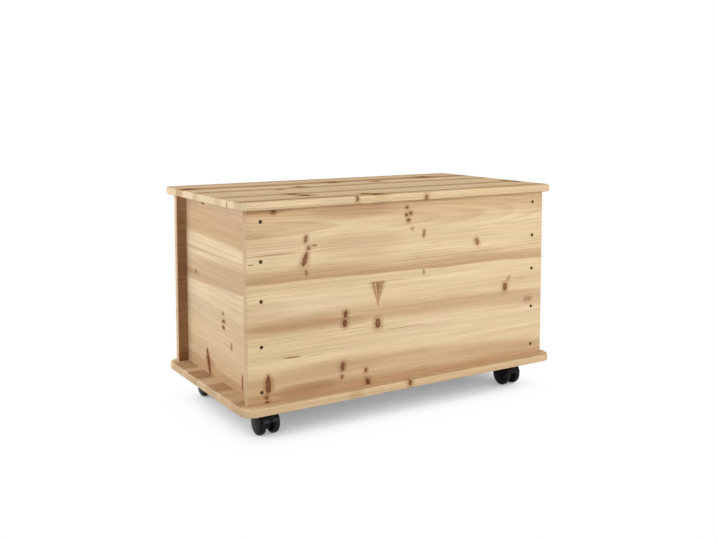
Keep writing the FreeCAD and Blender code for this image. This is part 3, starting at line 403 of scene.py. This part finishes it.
def lay_hearts_and_shade(tree, run, rise, deep, bent, wander, hearts_and_shade, patches):
    """How much stain a board's bands of heartwood and its darker patches hold, painted shade among them."""
    heart_and_shade = 0.0
    for low, high, slope, bow, soft_low, soft_high, strength in hearts_and_shade:
        glued = min(soft_low, soft_high) < GLUE_EDGE
        heart_and_shade = use_group(tree, HEART_AND_SHADE_GROUP, {
            "Along": run, "Across": rise if glued else bent, "Wander": 0.0 if glued else wander,
            "Low": low * MM, "High": high * MM, "Slope": slope, "Bow": bow, "Soft Low": soft_low * MM,
            "Soft High": soft_high * MM, "Strength": strength, "Heart And Shade": heart_and_shade,
        })["Heart And Shade"]
    for at_along, at_across, half_along, half_across, strength, *inside in patches:
        at_depth, half_depth = inside or RIGHT_THROUGH
        heart_and_shade = use_group(tree, PATCH_GROUP, {
            "Along": run, "Across": bent, "Through": deep, "Wander": wander, "Centre Along": at_along * MM,
            "Centre Across": at_across * MM, "Centre Through": at_depth * MM, "Half Along": half_along * MM,
            "Half Across": half_across * MM, "Half Through": half_depth * MM, "Strength": strength,
            "Heart And Shade": heart_and_shade,
        })["Heart And Shade"]
    return heart_and_shade


def lay_staves(tree, rise, staves):
    """The pith, ring width, seed and tone of the stave at each place across a board."""
    stave = None
    for low, pith_across, pith_depth, climb, ring, seed, tone in staves:
        values = (pith_across * MM, pith_depth * MM, climb, ring * MM, seed, tone)
        if stave is None:
            stave = dict(zip(STAVE_VALUES, values))
            continue
        inputs = {"Across": rise, "Line": low * MM}
        for name, value in zip(STAVE_VALUES, values):
            inputs[name] = stave[name]
            inputs[f"Next {name}"] = value
        stave = use_group(tree, GLUE_GROUP, inputs)
    return stave


def pine_board(node, along, across, staves, hearts_and_shade, knots, patches=(), spikes=(), tilt=0.0, figure=1.0,
               end_stain=0.1):
    """Dress one board in lacquered pine, in millimetres along and across its grain.

    staves: lower edge, pith across, pith depth, climb, ring width, seed, tone.
    hearts: low, high, slope, bow to the metre, softness below and above, strength.
    patches: along, across, half size along and across, strength. Some hearts and patches are painted shade
    where the board lies in shadow.
    knots: along, across, half size along and across, lean, taper, strength.
    A patch or knot that doesn't go right through the board adds its depth from the middle and its half size
    that way.
    spikes: along, tip across, cut end across, half size along at the end, strength.
    tilt: the slope of the grain to the board's length. figure: how strongly its grain lines show.
    end_stain: how dark its end grain is.
    """
    material, tree, where = new_material(f"{node}_pine")
    axes = add(tree, "ShaderNodeSeparateXYZ", {0: where["Object"]}).outputs
    through = next(axis for axis in AXES if axis not in (along, across))
    middle = sum(corner[AXES.index(through)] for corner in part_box(node)) / 2
    run, rise, deep = axes[along], axes[across], calc(tree, "SUBTRACT", axes[through], middle)
    place = together(tree, run, rise, deep)
    wobble = calc(tree, "MULTIPLY", cloud(tree, place, (160.0, 160.0, 160.0), 3.0), 0.8)
    dark, halo, bend = lay_knots(tree, run, rise, deep, wobble, knots, spikes)
    bent = calc(tree, "MULTIPLY_ADD", run, -tilt, calc(tree, "ADD", rise, bend))
    first_seed = staves[0][STAVE_VALUES.index("Seed") + 1]
    wander = calc(tree, "MULTIPLY", cloud(tree, place, (3.0, 9.0, 9.0), first_seed, 3.0), 0.030)
    heart_and_shade = lay_hearts_and_shade(tree, run, rise, deep, bent, wander, hearts_and_shade, patches)
    stave = lay_staves(tree, rise, staves)
    rings = use_group(tree, RING_GROUP, {
        "Along": run, "Across": bent, "Through": deep,
        **{name: stave[name] for name in STAVE_VALUES if name != "Tone"},
    })
    grain = tuple(float(axis == along) for axis in AXES)
    faces = use_group(tree, FACE_GROUP, {"Normal": where["Normal"], "Grain": grain})
    finish = use_group(tree, FINISH_GROUP, {
        "Heart And Shade": heart_and_shade, "Late": rings["Late"], "Fibre": rings["Fibre"], "Drift": rings["Drift"],
        "Warm": rings["Warm"], "Figure": figure, "Tone": stave["Tone"], "Dark": dark, "Halo": halo,
        "End": faces["End"], "End Stain": end_stain, "Rubbed": faces["Rubbed"],
    })
    wire_finish(tree, finish, relief=0.5, relief_depth=0.4 * MM, shine=0.0)
    dress(material, node)


pine_board("base_board", "X", "Y", staves=[
    (-218, -260, 30, 0.02, 4.5, 1.3, -0.32),
    (-95, -20, 45, 0.03, 5.0, 2.7, -0.20),
    (60, 230, 28, -0.02, 4.5, 4.1, -0.15),
], hearts_and_shade=[
    (-190, -150, 0.0, 0.0, 20, 20, 0.6),
    (-72, -16, 0.0, 0.0, 22, 22, 0.75),
    (28, 92, 0.0, 0.0, 24, 22, 0.9),
    (114, 172, 0.0, 0.0, 20, 24, 0.75),
], patches=[
    (-150, -219, 26, 10, 0.35),
], knots=[
    (-13, -219, 4, 12, 0.0, 0.0, 0.9, 3, 5),
    (190, 30, 9, 7, 0.0, 0.0, 0.8),
    (-240, 120, 8, 7, 0.0, 0.0, 0.8),
])


# Front and back panels
# Wide edge-glued pine boards that stand on the base and run past the side panels at both ends.
# They are screwed through their faces into the upright edges of the side panels.

pine_board("front_panel", "X", "Z", staves=[
    (80, 40, 35, 0.01, 4.2, 11.0, 0.0),
    (319, 428, 34, 0.055, 6.0, 17.0, -0.02),
], hearts_and_shade=[
    (316, 330, -0.012, 0.0, 6, 44, 0.95),
    (214, 247, -0.015, -0.03, 26, 18, 0.5),
    (60, 141, -0.026, -0.132, 10, 20, 0.5),
    (60, 100, -0.01, 0.0, 10, 44, 1.1),
    # This top band is painted shade: it darkens the top of the panel under the lid's overhang.
    (440, 480, 0.0, 0.0, 30, 20, 0.42),
], patches=[
    # Painted shadow: these two patches darken the top of the panel at its left end, where the lid's overhang
    # shades it.
    (-400, 430, 260, 60, 0.3),
    (-370, 466, 130, 15, 1.0),
    (-390, 413, 100, 11, 0.6),
    (-345, 268, 70, 28, 0.2),
    (80, 424, 220, 34, 0.2),
    (-260, 230, 240, 16, 0.95),
    (-250, 92, 130, 22, 1.4),
    # These two patches darken the top edge of the panel, just under the lid.
    (-130, 456, 180, 22, 0.75),
    (70, 468, 190, 20, 0.65),
    (-120, 385, 150, 45, 0.3),
    (100, 326, 300, 14, 0.6),
    (-330, 373, 75, 1.6, 1.0),
    (65, 372, 24, 1.3, 0.7),
    (-10, 191, 75, 1.5, 0.6),
    (315, 268, 30, 1.3, 0.6),
    (-35, 297, 30, 1.3, 0.6),
    (-375, 357, 8, 1.8, 1.2),
    (-285, 162, 26, 1.6, 2.5),
    (-230, 162, 24, 1.2, 0.6),
], knots=[
    (-253, 403, 3.2, 7, 0.15, 0.0, 0.8),
    (-247, 384, 3.1, 3.5, 0.0, 0.0, 0.8),
    (-234, 388, 6.2, 1.6, 0.0, 0.0, 0.5),
    (-255, 362, 4.8, 13, 0.3, -0.2, 0.95),
    (-252, 334, 2.2, 5.3, -0.2, 0.0, 0.5),
    (-160, 238, 4, 6.6, 0.0, 0.0, 1.0),
    (-162, 219, 4.4, 7.5, 0.0, 0.0, 1.0),
    (-80, 209, 5.7, 9.2, 0.0, 0.0, 1.0),
    (-339, 119, 4.8, 18, 0.0, -0.3, 0.95),
    (-343, 92, 3.5, 3.1, 0.0, 0.0, 0.8),
    (-341, 80, 3.5, 4.4, 0.0, 0.0, 0.8),
    (-167, 129, 4, 8.8, 0.1, 0.0, 0.85),
    (-169, 107, 2.8, 3.5, 0.0, 0.0, 0.75),
    (-110, 112, 3.1, 3.5, 0.0, 0.0, 0.9),
    (-105, 86, 4, 7, -0.2, 0.0, 1.0),
    (-325, 462, 4.8, 3.1, 0.0, 0.0, 0.7),
    (-6, 452, 3.2, 2.5, 0.0, 0.0, 0.8),
    (3, 439, 3.5, 3, 0.0, 0.0, 0.9),
    (-7, 436, 3.5, 2.8, 0.0, 0.0, 0.9),
    (-2, 424, 4, 3, 0.0, 0.0, 0.95),
    (8, 405, 3.5, 2.6, 0.0, 0.0, 0.4),
    (39, 393, 3.1, 7.9, 0.1, 0.0, 0.65),
    (187, 363, 4.4, 7, -0.2, 0.0, 0.75),
    (39, 308, 1.9, 5.3, 0.0, 0.0, 0.5),
    (271, 250, 4.8, 8.8, 0.0, 0.0, 1.0),
    (281, 268, 4.4, 3.5, 0.6, 0.0, 0.35),
    (342, 214, 12, 4.4, 0.2, 0.0, 0.3),
], spikes=[
    (-80, 248, 299, 17, 0.62),
    (-79, 264, 297, 7, 0.95),
], end_stain=0.4)

pine_board("back_panel", "X", "Z", staves=[
    (80, 20, 40, 0.03, 5.5, 23.0, 0.0),
    (205, 270, 38, 0.05, 6.0, 29.0, -0.03),
    (340, 520, 42, -0.03, 5.5, 31.0, 0.01),
], hearts_and_shade=[
    (180, 205, 0.0, 0.0, 40, 1, 0.9),
    (340, 362, 0.0, 0.0, 1, 40, 0.8),
    (70, 112, 0.02, 0.0, 10, 34, 0.6),
], patches=[
    (150, 280, 200, 30, 0.4),
    # Painted shade: these two patches darken the front face of the panel's left end, where it runs past the
    # left side panel and lies in shadow, darkest near the bottom.
    (-400, 275, 75, 330, 1.75, -8, 9),
    (-375, 80, 60, 40, 1.9, -8, 9),
], knots=[
    (-210, 390, 6, 9, 0.0, 0.0, 0.9),
    (120, 300, 7, 10, 0.1, 0.0, 1.0),
    (128, 276, 4, 5, 0.0, 0.0, 0.7),
    (-60, 160, 6, 14, 0.2, -0.4, 0.9),
    (270, 140, 5, 8, 0.0, 0.0, 0.8),
    (-310, 230, 4, 6, 0.0, 0.0, 0.7),
    (300, 420, 5, 7, 0.0, 0.0, 0.6),
])


# Side panels
# Shorter pine boards of the same stock, set in from the ends of the front and back panels.
# Their grain runs from front to back, and screws through the panels hold their upright edges.

pine_board("left_side_panel", "Y", "Z", staves=[
    (80, 20, 35, 0.0, 5.0, 41.0, 0.0),
    (281, 180, 46, 0.0, 5.0, 47.0, -0.01),
], hearts_and_shade=[
    (380, 450, 0.027, 0.0, 18, 30, 0.55),
    (346, 350, -0.01, 0.0, 4, 4, 0.35),
    (283, 334, -0.067, 0.0, 5, 24, 0.5),
    (60, 236, 0.0, 0.0, 10, 18, 0.25),
    # This band makes the panel darker towards the bottom.
    (60, 140, 0.02, 0.0, 10, 50, 0.5),
    (60, 106, 0.0, 0.0, 10, 34, 0.9),
], patches=[
    (155, 292, 95, 15, 0.8),
    (115, 413, 60, 2.2, 0.9),
    (50, 104, 50, 12, 1.1),
], knots=[
    (-22, 230, 5, 2.2, 0.0, 0.0, 0.65),
    (-26, 214, 8, 2.7, 0.0, 0.0, 0.85),
    (-25, 201, 6, 2.8, 0.0, 0.0, 0.9),
    (-66, 168, 2.5, 8, 0.0, 0.0, 0.6),
    (59, 106, 5, 28, 0.28, 0.0, 0.95),
    (-119, 106, 3, 16, 0.0, 0.0, 0.7),
    (128, 297, 6, 2.5, 0.2, 0.0, 0.4),
    (82, 456, 8, 2, 0.1, 0.0, 0.75),
], tilt=0.03, figure=0.65)

pine_board("right_side_panel", "Y", "Z", staves=[
    (80, 30, 40, 0.05, 5.5, 53.0, 0.0),
    (240, 310, 40, -0.08, 6.0, 59.0, -0.03),
    (390, 530, 35, 0.04, 5.5, 61.0, 0.02),
], hearts_and_shade=[
    (240, 275, 0.0, 0.0, 1, 40, 0.9),
    (70, 118, 0.04, 0.0, 10, 40, 0.7),
    (360, 390, 0.0, 0.0, 30, 1, 0.6),
], knots=[
    (60, 330, 6, 9, 0.1, 0.0, 0.95),
    (-90, 190, 5, 8, 0.0, 0.0, 0.9),
    (-84, 172, 3.5, 4, 0.0, 0.0, 0.7),
    (110, 130, 5, 14, 0.0, -0.5, 0.85),
])


# Wood screws
# Blackened steel screws with countersunk cross heads, driven in until the heads lie just below the wood.
# They hold the panels to the side panels and the base to the panels above it.

WOOD_SCREW = {
    "Face Radius": 3.7, "Root Radius": 2.0, "Head Height": 2.0, "Shank Radius": 2.0, "Length": 40.0,
    "Tip Length": 5.0, "Slot Width": 1.0, "Slot Length": 4.6, "Slot Depth": 1.4,
}
SCREW_SIDES = 40
# The shank starts a hair under the head, and its point is a tenth as wide as the shank.
STEP_UNDER_HEAD = 0.02 * MM
POINT_SHARE = 0.1
# Width, length and share of the depth of the cross's two bars. The second is cut a little less deep.
CROSS_BARS = (("Slot Width", "Slot Length", 1.0), ("Slot Length", "Slot Width", 0.9))


def screw_places(node, outward):
    """Middle of each screw head's face in a CAD group of screws, and the turn that faces it outward."""
    copy = bmesh.new()
    copy.from_mesh(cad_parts[node].data)
    bmesh.ops.remove_doubles(copy, verts=copy.verts, dist=1e-6)
    copy.transform(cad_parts[node].matrix_world)
    waiting = set(copy.verts)
    places = []
    while waiting:
        screw = set()
        reached = [waiting.pop()]
        while reached:
            corner = reached.pop()
            screw.add(corner)
            near = {side.other_vert(corner) for side in corner.link_edges} & waiting
            waiting -= near
            reached.extend(near)
        head = max(corner.co.dot(outward) for corner in screw)
        low = Vector([min(corner.co[axis] for corner in screw) for axis in range(3)])
        high = Vector([max(corner.co[axis] for corner in screw) for axis in range(3)])
        middle = (low + high) / 2
        places.append(middle + outward * (head - middle.dot(outward)))
    copy.free()
    return sorted(places, key=tuple), outward.to_track_quat("Z", "Y").to_euler()


def make_screw_tree():
    """A screw turned along its axis, with a cross cut in its head, set on every point at its own angle."""
    tree = bpy.data.node_groups.new("cross_head_screws", "GeometryNodeTree")
    tree.interface.new_socket("Places", in_out="INPUT", socket_type="NodeSocketGeometry")
    for label in WOOD_SCREW:
        tree.interface.new_socket(label, in_out="INPUT", socket_type="NodeSocketFloat")
    for label, kind in (("Facing", "Rotation"), ("Seed", "Int"), ("Metal", "Material")):
        tree.interface.new_socket(label, in_out="INPUT", socket_type=f"NodeSocket{kind}")
    tree.interface.new_socket("Screws", in_out="OUTPUT", socket_type="NodeSocketGeometry")
    given = tree.nodes.new("NodeGroupInput").outputs
    ring_number = tree.nodes.new("GeometryNodeInputIndex").outputs[0]

    def at_rings(values):
        """The value that belongs to each ring of the screw, from its point up to its face."""
        choice = add(tree, "GeometryNodeIndexSwitch", data_type="FLOAT")
        while len(choice.index_switch_items) < len(values):
            choice.index_switch_items.new()
        feed(tree, choice.inputs["Index"], ring_number)
        for ring, value in enumerate(values, start=1):
            feed(tree, choice.inputs[ring], value)
        return choice.outputs[0]

    point = calc(tree, "SUBTRACT", 0.0, given["Length"])
    shank_end = calc(tree, "ADD", point, given["Tip Length"])
    head_root = calc(tree, "SUBTRACT", 0.0, given["Head Height"])
    shank_top = calc(tree, "SUBTRACT", head_root, STEP_UNDER_HEAD)
    heights = (point, shank_end, shank_top, head_root, 0.0)
    shank = given["Shank Radius"]
    blunt = calc(tree, "MULTIPLY", shank, POINT_SHARE)
    radii = (blunt, shank, shank, given["Root Radius"], given["Face Radius"])
    line = add(tree, "GeometryNodeMeshLine", {"Count": len(heights)}).outputs[0]
    ring_places = together(tree, 0.0, 0.0, at_rings(heights))
    line = add(tree, "GeometryNodeSetPosition", {"Geometry": line, "Position": ring_places}).outputs[0]
    axis = add(tree, "GeometryNodeMeshToCurve", {"Mesh": line}).outputs[0]
    circle = add(tree, "GeometryNodeCurvePrimitiveCircle", {"Resolution": SCREW_SIDES, "Radius": 1.0})
    screw = add(tree, "GeometryNodeCurveToMesh", {
        "Curve": axis, "Profile Curve": circle.outputs[0], "Scale": at_rings(radii), "Fill Caps": True})
    screw = screw.outputs[0]
    for wide, long, deep in CROSS_BARS:
        tall = calc(tree, "MULTIPLY", given["Slot Depth"], 2.0 * deep)
        bar = add(tree, "GeometryNodeMeshCube", {"Size": together(tree, given[wide], given[long], tall)})
        pair = {"Mesh 1": screw, "Mesh 2": bar.outputs["Mesh"]}
        screw = add(tree, "GeometryNodeMeshBoolean", pair, operation="DIFFERENCE").outputs["Mesh"]
    screw = add(tree, "GeometryNodeSetShadeSmooth", {"Geometry": screw, "Shade Smooth": False}).outputs[0]
    spin = add(tree, "FunctionNodeRandomValue", {"Seed": given["Seed"]}, data_type="FLOAT")
    angle = calc(tree, "MULTIPLY", spin.outputs[1], math.pi)
    about = add(tree, "FunctionNodeAxisAngleToRotation", {"Axis": (0.0, 0.0, 1.0), "Angle": angle})
    pair = {0: given["Facing"], 1: about.outputs[0]}
    turned = add(tree, "FunctionNodeRotateRotation", pair, rotation_space="LOCAL").outputs[0]
    placed = add(tree, "GeometryNodeInstanceOnPoints", {
        "Points": given["Places"], "Instance": screw, "Rotation": turned}).outputs[0]
    real = add(tree, "GeometryNodeRealizeInstances", {"Geometry": placed}).outputs[0]
    done = add(tree, "GeometryNodeSetMaterial", {"Geometry": real, "Material": given["Metal"]}).outputs[0]
    tree.links.new(done, tree.nodes.new("NodeGroupOutput").inputs[0])
    return tree


SCREW_TREE = make_screw_tree()


def set_screws(name, node, body, outward, plating, seed, sizes):
    """The screws of one CAD group, with their cross heads, as one mesh. Their sizes are in millimetres."""
    places, facing = screw_places(node, Vector(outward))
    points = bpy.data.meshes.new(name)
    points.from_pydata(places, [], [])
    screws = bpy.data.objects.new(name, points)
    bpy.context.scene.collection.objects.link(screws)
    modifier = screws.modifiers.new("screws", "NODES")
    modifier.node_group = SCREW_TREE
    values = {"Facing": facing, "Seed": seed, "Metal": plating}
    values.update({label: size * MM for label, size in sizes.items()})
    for socket in SCREW_TREE.interface.items_tree:
        if socket.in_out == "INPUT" and socket.name in values:
            modifier[socket.identifier] = values[socket.name]
    depsgraph = bpy.context.evaluated_depsgraph_get()
    mesh = bpy.data.meshes.new_from_object(screws.evaluated_get(depsgraph), depsgraph=depsgraph)
    screws.modifiers.clear()
    screws.data = mesh
    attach(screws, body)
    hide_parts(node)


def make_metal_group():
    """Metal with a cloudy finish, fine rubbing marks and duller patches."""
    tree, given, result = new_group("worked_metal", {
        "Place": (0.0, 0.0, 0.0), "Clean": (0.5, 0.5, 0.5, 1.0), "Dull": (0.4, 0.4, 0.4, 1.0),
        "Gloss": 0.3, "Spread": 0.2,
    }, {"Color": "Color", "Roughness": "Float", "Height": "Float"})
    patch = cloud(tree, given["Place"], (180.0, 180.0, 180.0), 1.0, 3.0)
    speck = cloud(tree, given["Place"], (1500.0, 1500.0, 1500.0), 2.0, 2.0)
    mixed = calc(tree, "MULTIPLY_ADD", speck, 0.5, patch)
    feed(tree, result["Color"], blend(tree, ease(tree, mixed, -0.25, 0.25), given["Clean"], given["Dull"]))
    feed(tree, result["Roughness"], calc(tree, "MULTIPLY_ADD", mixed, given["Spread"], given["Gloss"]))
    feed(tree, result["Height"], speck)
    return tree


METAL_GROUP = make_metal_group()


def metal(name, clean, dull, gloss, spread, metallic):
    """A metal finish with its own colours and gloss."""
    material, tree, where = new_material(name)
    finish = use_group(tree, METAL_GROUP, {
        "Place": where["Object"], "Clean": (*clean, 1.0), "Dull": (*dull, 1.0), "Gloss": gloss,
        "Spread": spread,
    })
    shader = wire_finish(tree, finish, relief=0.25, relief_depth=0.1 * MM, shine=0.05)
    shader.inputs["Metallic"].default_value = metallic
    return material


black_steel = metal("blackened_screw_steel", (0.085, 0.054, 0.022), (0.13, 0.087, 0.04), 0.65, 0.3, 0.0)
set_screws("front_cross_screws", "front_panel_screws", "chest", (0, -1, 0), black_steel, 3,
           WOOD_SCREW)
set_screws("back_cross_screws", "back_panel_screws", "chest", (0, 1, 0), black_steel, 5,
           WOOD_SCREW)
set_screws("base_cross_screws", "base_screws", "chest", (0, 0, -1), black_steel, 7,
           WOOD_SCREW)


# Lid
# One more edge-glued pine board, with rounded corners and softened edges all round.
# It overhangs the carcass on every side and turns on the hinges along its rear edge.

pine_board("lid_board", "X", "Y", staves=[
    (-211, -260, 30, 0.02, 4.5, 67.0, -0.12),
    (-75, -20, 45, 0.04, 5.0, 71.0, -0.17),
    (38, 80, 42, -0.03, 4.5, 73.0, -0.12),
    (128, 270, 45, 0.02, 5.0, 79.0, -0.22),
], hearts_and_shade=[
    (-198, -174, 0.0, 0.0, 14, 14, 0.85),
    (-106, -76, 0.0, 0.0, 20, 18, 0.8),
    (16, 42, 0.0, 0.0, 20, 20, 0.8),
    (100, 136, 0.0, 0.0, 18, 14, 1.1),
    (196, 222, 0.0, 0.0, 30, 14, 0.6),
], knots=[
    (-378, 125, 9.8, 9, 0.0, 0.0, 0.90),
    (-205, 14, 8.2, 6.6, 0.0, 0.0, 0.67),
    (-138, 48, 9.8, 9.8, 0.0, 0.0, 0.85),
    (-231, -97, 9.8, 9.8, 0.0, 0.0, 0.85),
    (-221, -130, 9.8, 11, 0.0, 0.0, 0.95),
    (-95, -165, 8.2, 8.2, 0.0, 0.0, 0.85),
    (-80, -188, 11, 8.2, 0.0, 0.0, 0.95),
    (93, 84, 9.8, 11, 0.0, 0.0, 0.85),
    (-14, 112, 9.8, 11, 0.0, 0.0, 0.67),
    (268, 128, 11, 13, 0.0, 0.0, 0.71),
    (378, -66, 11, 8.2, 0.0, 0.0, 0.85),
    (382, -102, 9.8, 7.4, 0.0, 0.0, 0.85),
    (-141, -212, 3, 11, 0.0, 0.0, 0.8, 5, 7),
    (33, -212, 3.8, 11, 0.0, 0.0, 0.75, -4, 7),
    (-401, -139, 11, 1.4, 0.0, 0.0, 0.8, -1, 6),
], end_stain=-0.2)


# Hinges
# Two butt hinges of zinc-plated sheet steel, rolled round plain steel pins.
# One leaf is screwed to the back panel's outer face and the other to the lid's underside.

zinc = metal("zinc_plated_steel", (0.50, 0.50, 0.49), (0.36, 0.365, 0.37), 0.44, 0.3, 1.0)
for side in ("left", "right"):
    dress(zinc, f"{side}_hinge_body_leaf", f"{side}_hinge_lid_leaf", f"{side}_hinge_pin")
HINGE_SCREW = {
    "Face Radius": 2.5, "Root Radius": 1.25, "Head Height": 1.25, "Shank Radius": 1.25, "Length": 12.0,
    "Tip Length": 3.0, "Slot Width": 0.7, "Slot Length": 3.0, "Slot Depth": 0.9,
}
set_screws("hinge_body_cross_screws", "hinge_body_screws", "chest", (0, 1, 0), zinc, 11,
           HINGE_SCREW)
set_screws("hinge_lid_cross_screws", "hinge_lid_screws", "lid", (0, 0, -1), zinc, 13,
           HINGE_SCREW)


# Caster plates, pins and axles
# Zinc-plated plates held up by pan-head screws, with a king pin, a spring grip ring and a plain axle each.
# The king pin lets the hood swivel, and the ring snaps into its groove so that the hood cannot drop off.

CASTERS = [f"{end}_{side}_caster" for end in ("front", "rear") for side in ("left", "right")]
for caster in CASTERS:
    dress(zinc, f"{caster}_plate", f"{caster}_king_pin", f"{caster}_grip_ring", f"{caster}_axle")
PLATE_SCREW = {
    "Face Radius": 2.7, "Root Radius": 4.0, "Head Height": 2.2, "Shank Radius": 1.75, "Length": 15.2,
    "Tip Length": 3.0, "Slot Width": 0.9, "Slot Length": 3.8, "Slot Depth": 1.3,
}
set_screws("caster_cross_screws", "caster_screws", "chest", (0, 0, -1), zinc, 17, PLATE_SCREW)


# Caster hoods and wheels
# Black nylon mouldings with a fine satin texture: a hood over each axle and a pair of wheels.
# The treads pick up dust and light scuffs from the floor.

def make_plastic_group():
    """Moulded plastic with a fine texture, and dust and scuffs where it meets the floor."""
    tree, given, result = new_group("moulded_plastic", {
        "Place": (0.0, 0.0, 0.0), "Normal": (0.0, 0.0, 1.0), "Plastic": (0.0065, 0.006, 0.0056, 1.0),
        "Dust": (0.06, 0.056, 0.052, 1.0), "Tread": 0.0,
    }, {"Color": "Color", "Roughness": "Float", "Height": "Float"})
    grain = cloud(tree, given["Place"], (2600.0, 2600.0, 2600.0), 1.0, 2.0)
    smear = cloud(tree, given["Place"], (90.0, 400.0, 400.0), 2.0, 3.0)
    outward = add(tree, "ShaderNodeSeparateXYZ", {0: given["Normal"]}).outputs[0]
    rim = ease(tree, calc(tree, "ABSOLUTE", outward), 0.55, 0.2)
    dust = calc(tree, "MULTIPLY", calc(tree, "MULTIPLY", rim, ease(tree, smear, -0.15, 0.3)), given["Tread"])
    dulled = calc(tree, "MULTIPLY", dust, 0.5)
    feed(tree, result["Color"], blend(tree, dulled, given["Plastic"], given["Dust"]))
    gloss = calc(tree, "MULTIPLY_ADD", smear, 0.12, 0.40)
    feed(tree, result["Roughness"], calc(tree, "MULTIPLY_ADD", dust, 0.3, gloss))
    feed(tree, result["Height"], grain)
    return tree


PLASTIC_GROUP = make_plastic_group()


def plastic(name, tread):
    """Black moulded plastic, with a share of floor dust on its treads."""
    material, tree, where = new_material(name)
    finish = use_group(tree, PLASTIC_GROUP, {
        "Place": where["Object"], "Normal": where["Normal"], "Tread": tread})
    wire_finish(tree, finish, relief=0.3, relief_depth=0.1 * MM, shine=0.10)
    return material


hood_nylon = plastic("hood_nylon", 0.0)
wheel_nylon = plastic("wheel_nylon", 0.6)
for caster in CASTERS:
    dress(hood_nylon, f"{caster}_hood")
    dress(wheel_nylon, f"{caster}_left_wheel", f"{caster}_right_wheel")


# Floor, light and camera
# A plain white floor under five broad lamps: a key in front, one on the left, two behind and one above.
# The camera stands where the photograph was taken, with its lens shifted down.

FLOOR_REACH = 4.0
# How far off a piece still shades the floor, how fast its shade fades, how deep it goes, and its darkest.
SHADE_REACH = 0.20
SHADE_FALL = 8.0
SHADE_DEPTH = 1.76
DARKEST_SHADE = 0.28


def seen_white(tree, shown, lit):
    """White to the eye and in reflections, while other rays meet the plain surface."""
    path = tree.nodes.new("ShaderNodeLightPath").outputs
    seen = calc(tree, "MAXIMUM", path["Is Camera Ray"], path["Is Glossy Ray"])
    seen = calc(tree, "MAXIMUM", seen, path["Is Transmission Ray"])
    return add(tree, "ShaderNodeMixShader", {0: seen, 1: lit, 2: shown}).outputs[0]


floor_mesh = bpy.data.meshes.new("floor")
corners = [(-FLOOR_REACH, -FLOOR_REACH, 0), (FLOOR_REACH, -FLOOR_REACH, 0),
           (FLOOR_REACH, FLOOR_REACH, 0), (-FLOOR_REACH, FLOOR_REACH, 0)]
floor_mesh.from_pydata(corners, [], [(0, 1, 2, 3)])
floor = bpy.data.objects.new("floor", floor_mesh)
bpy.context.scene.collection.objects.link(floor)
floor_paint = bpy.data.materials.new("white_floor")
floor_paint.use_nodes = True
tree = floor_paint.node_tree
paint = tree.nodes["Principled BSDF"]
paint.inputs["Base Color"].default_value = (0.45, 0.45, 0.46, 1.0)
paint.inputs["Roughness"].default_value = 0.9
paint.inputs["Specular IOR Level"].default_value = 0.0
open_sky = add(tree, "ShaderNodeAmbientOcclusion", {"Distance": SHADE_REACH}, samples=16).outputs["AO"]
lost = calc(tree, "EXPONENT", calc(tree, "MULTIPLY", open_sky, -SHADE_FALL))
shade = calc(tree, "MAXIMUM", calc(tree, "MULTIPLY_ADD", lost, -SHADE_DEPTH, 1.0), DARKEST_SHADE)
white = add(tree, "ShaderNodeEmission", {"Color": (1.0, 1.0, 1.0, 1.0), "Strength": shade}).outputs[0]
feed(tree, tree.nodes["Material Output"].inputs["Surface"], seen_white(tree, white, paint.outputs[0]))
floor_mesh.materials.append(floor_paint)

world = bpy.data.worlds.new("studio")
world.use_nodes = True
bpy.context.scene.world = world
tree = world.node_tree
soft = add(tree, "ShaderNodeBackground", {"Color": (0.98, 0.98, 1.0, 1.0), "Strength": 0.07})
white = add(tree, "ShaderNodeBackground", {"Color": (1.0, 1.0, 1.0, 1.0), "Strength": 1.0})
feed(tree, tree.nodes["World Output"].inputs["Surface"], seen_white(tree, white.outputs[0], soft.outputs[0]))


def area_light(name, place, target, width, height, power, colour=(1.0, 1.0, 1.0)):
    """A broad studio lamp that faces a point."""
    lamp = bpy.data.lights.new(name, "AREA")
    lamp.shape = "RECTANGLE"
    lamp.size = width
    lamp.size_y = height
    lamp.energy = power
    lamp.color = colour
    light = bpy.data.objects.new(name, lamp)
    light.location = place
    light.rotation_euler = (Vector(target) - Vector(place)).to_track_quat("-Z", "Y").to_euler()
    bpy.context.scene.collection.objects.link(light)


COOL_LIGHT = (0.97, 1.0, 1.09)
area_light("key", (0.9, -3.2, 1.25), (0, 0, 0.25), 1.8, 1.8, 88)
area_light("side_fill", (-2.6, 0.6, 1.1), (-0.2, 0.6, 0.5), 3.6, 2.0, 58, COOL_LIGHT)
area_light("rear_fill", (-1.9, 2.9, 1.2), (-0.3, 0.1, 0.3), 2.2, 2.0, 39, COOL_LIGHT)
area_light("right_fill", (2.4, 2.2, 1.2), (0.1, 0, 0.3), 2.2, 2.0, 60)
area_light("top", (0.2, 0.0, 2.8), (0, 0, 0.4), 2.2, 2.2, 21)

PHOTO_WIDTH = 716
FOCAL_PIXELS = 907.0
PRINCIPAL_DROP = 91.0
CAMERA_YAW = math.radians(31.676)
CAMERA_PITCH = math.radians(4.685)
CAMERA_PLACE = (-1.11148, -1.78449, 0.67159)
camera_data = bpy.data.cameras.new("camera")
camera_data.sensor_width = 36.0
camera_data.lens = camera_data.sensor_width * FOCAL_PIXELS / PHOTO_WIDTH
camera_data.shift_y = -PRINCIPAL_DROP / PHOTO_WIDTH
camera = bpy.data.objects.new("camera", camera_data)
camera.location = CAMERA_PLACE
level = math.cos(CAMERA_PITCH)
forward = Vector((math.sin(CAMERA_YAW) * level, math.cos(CAMERA_YAW) * level, -math.sin(CAMERA_PITCH)))
camera.rotation_euler = forward.to_track_quat("-Z", "Y").to_euler()
bpy.context.scene.collection.objects.link(camera)
bpy.context.scene.camera = camera
bpy.context.scene.view_settings.view_transform = "Standard"
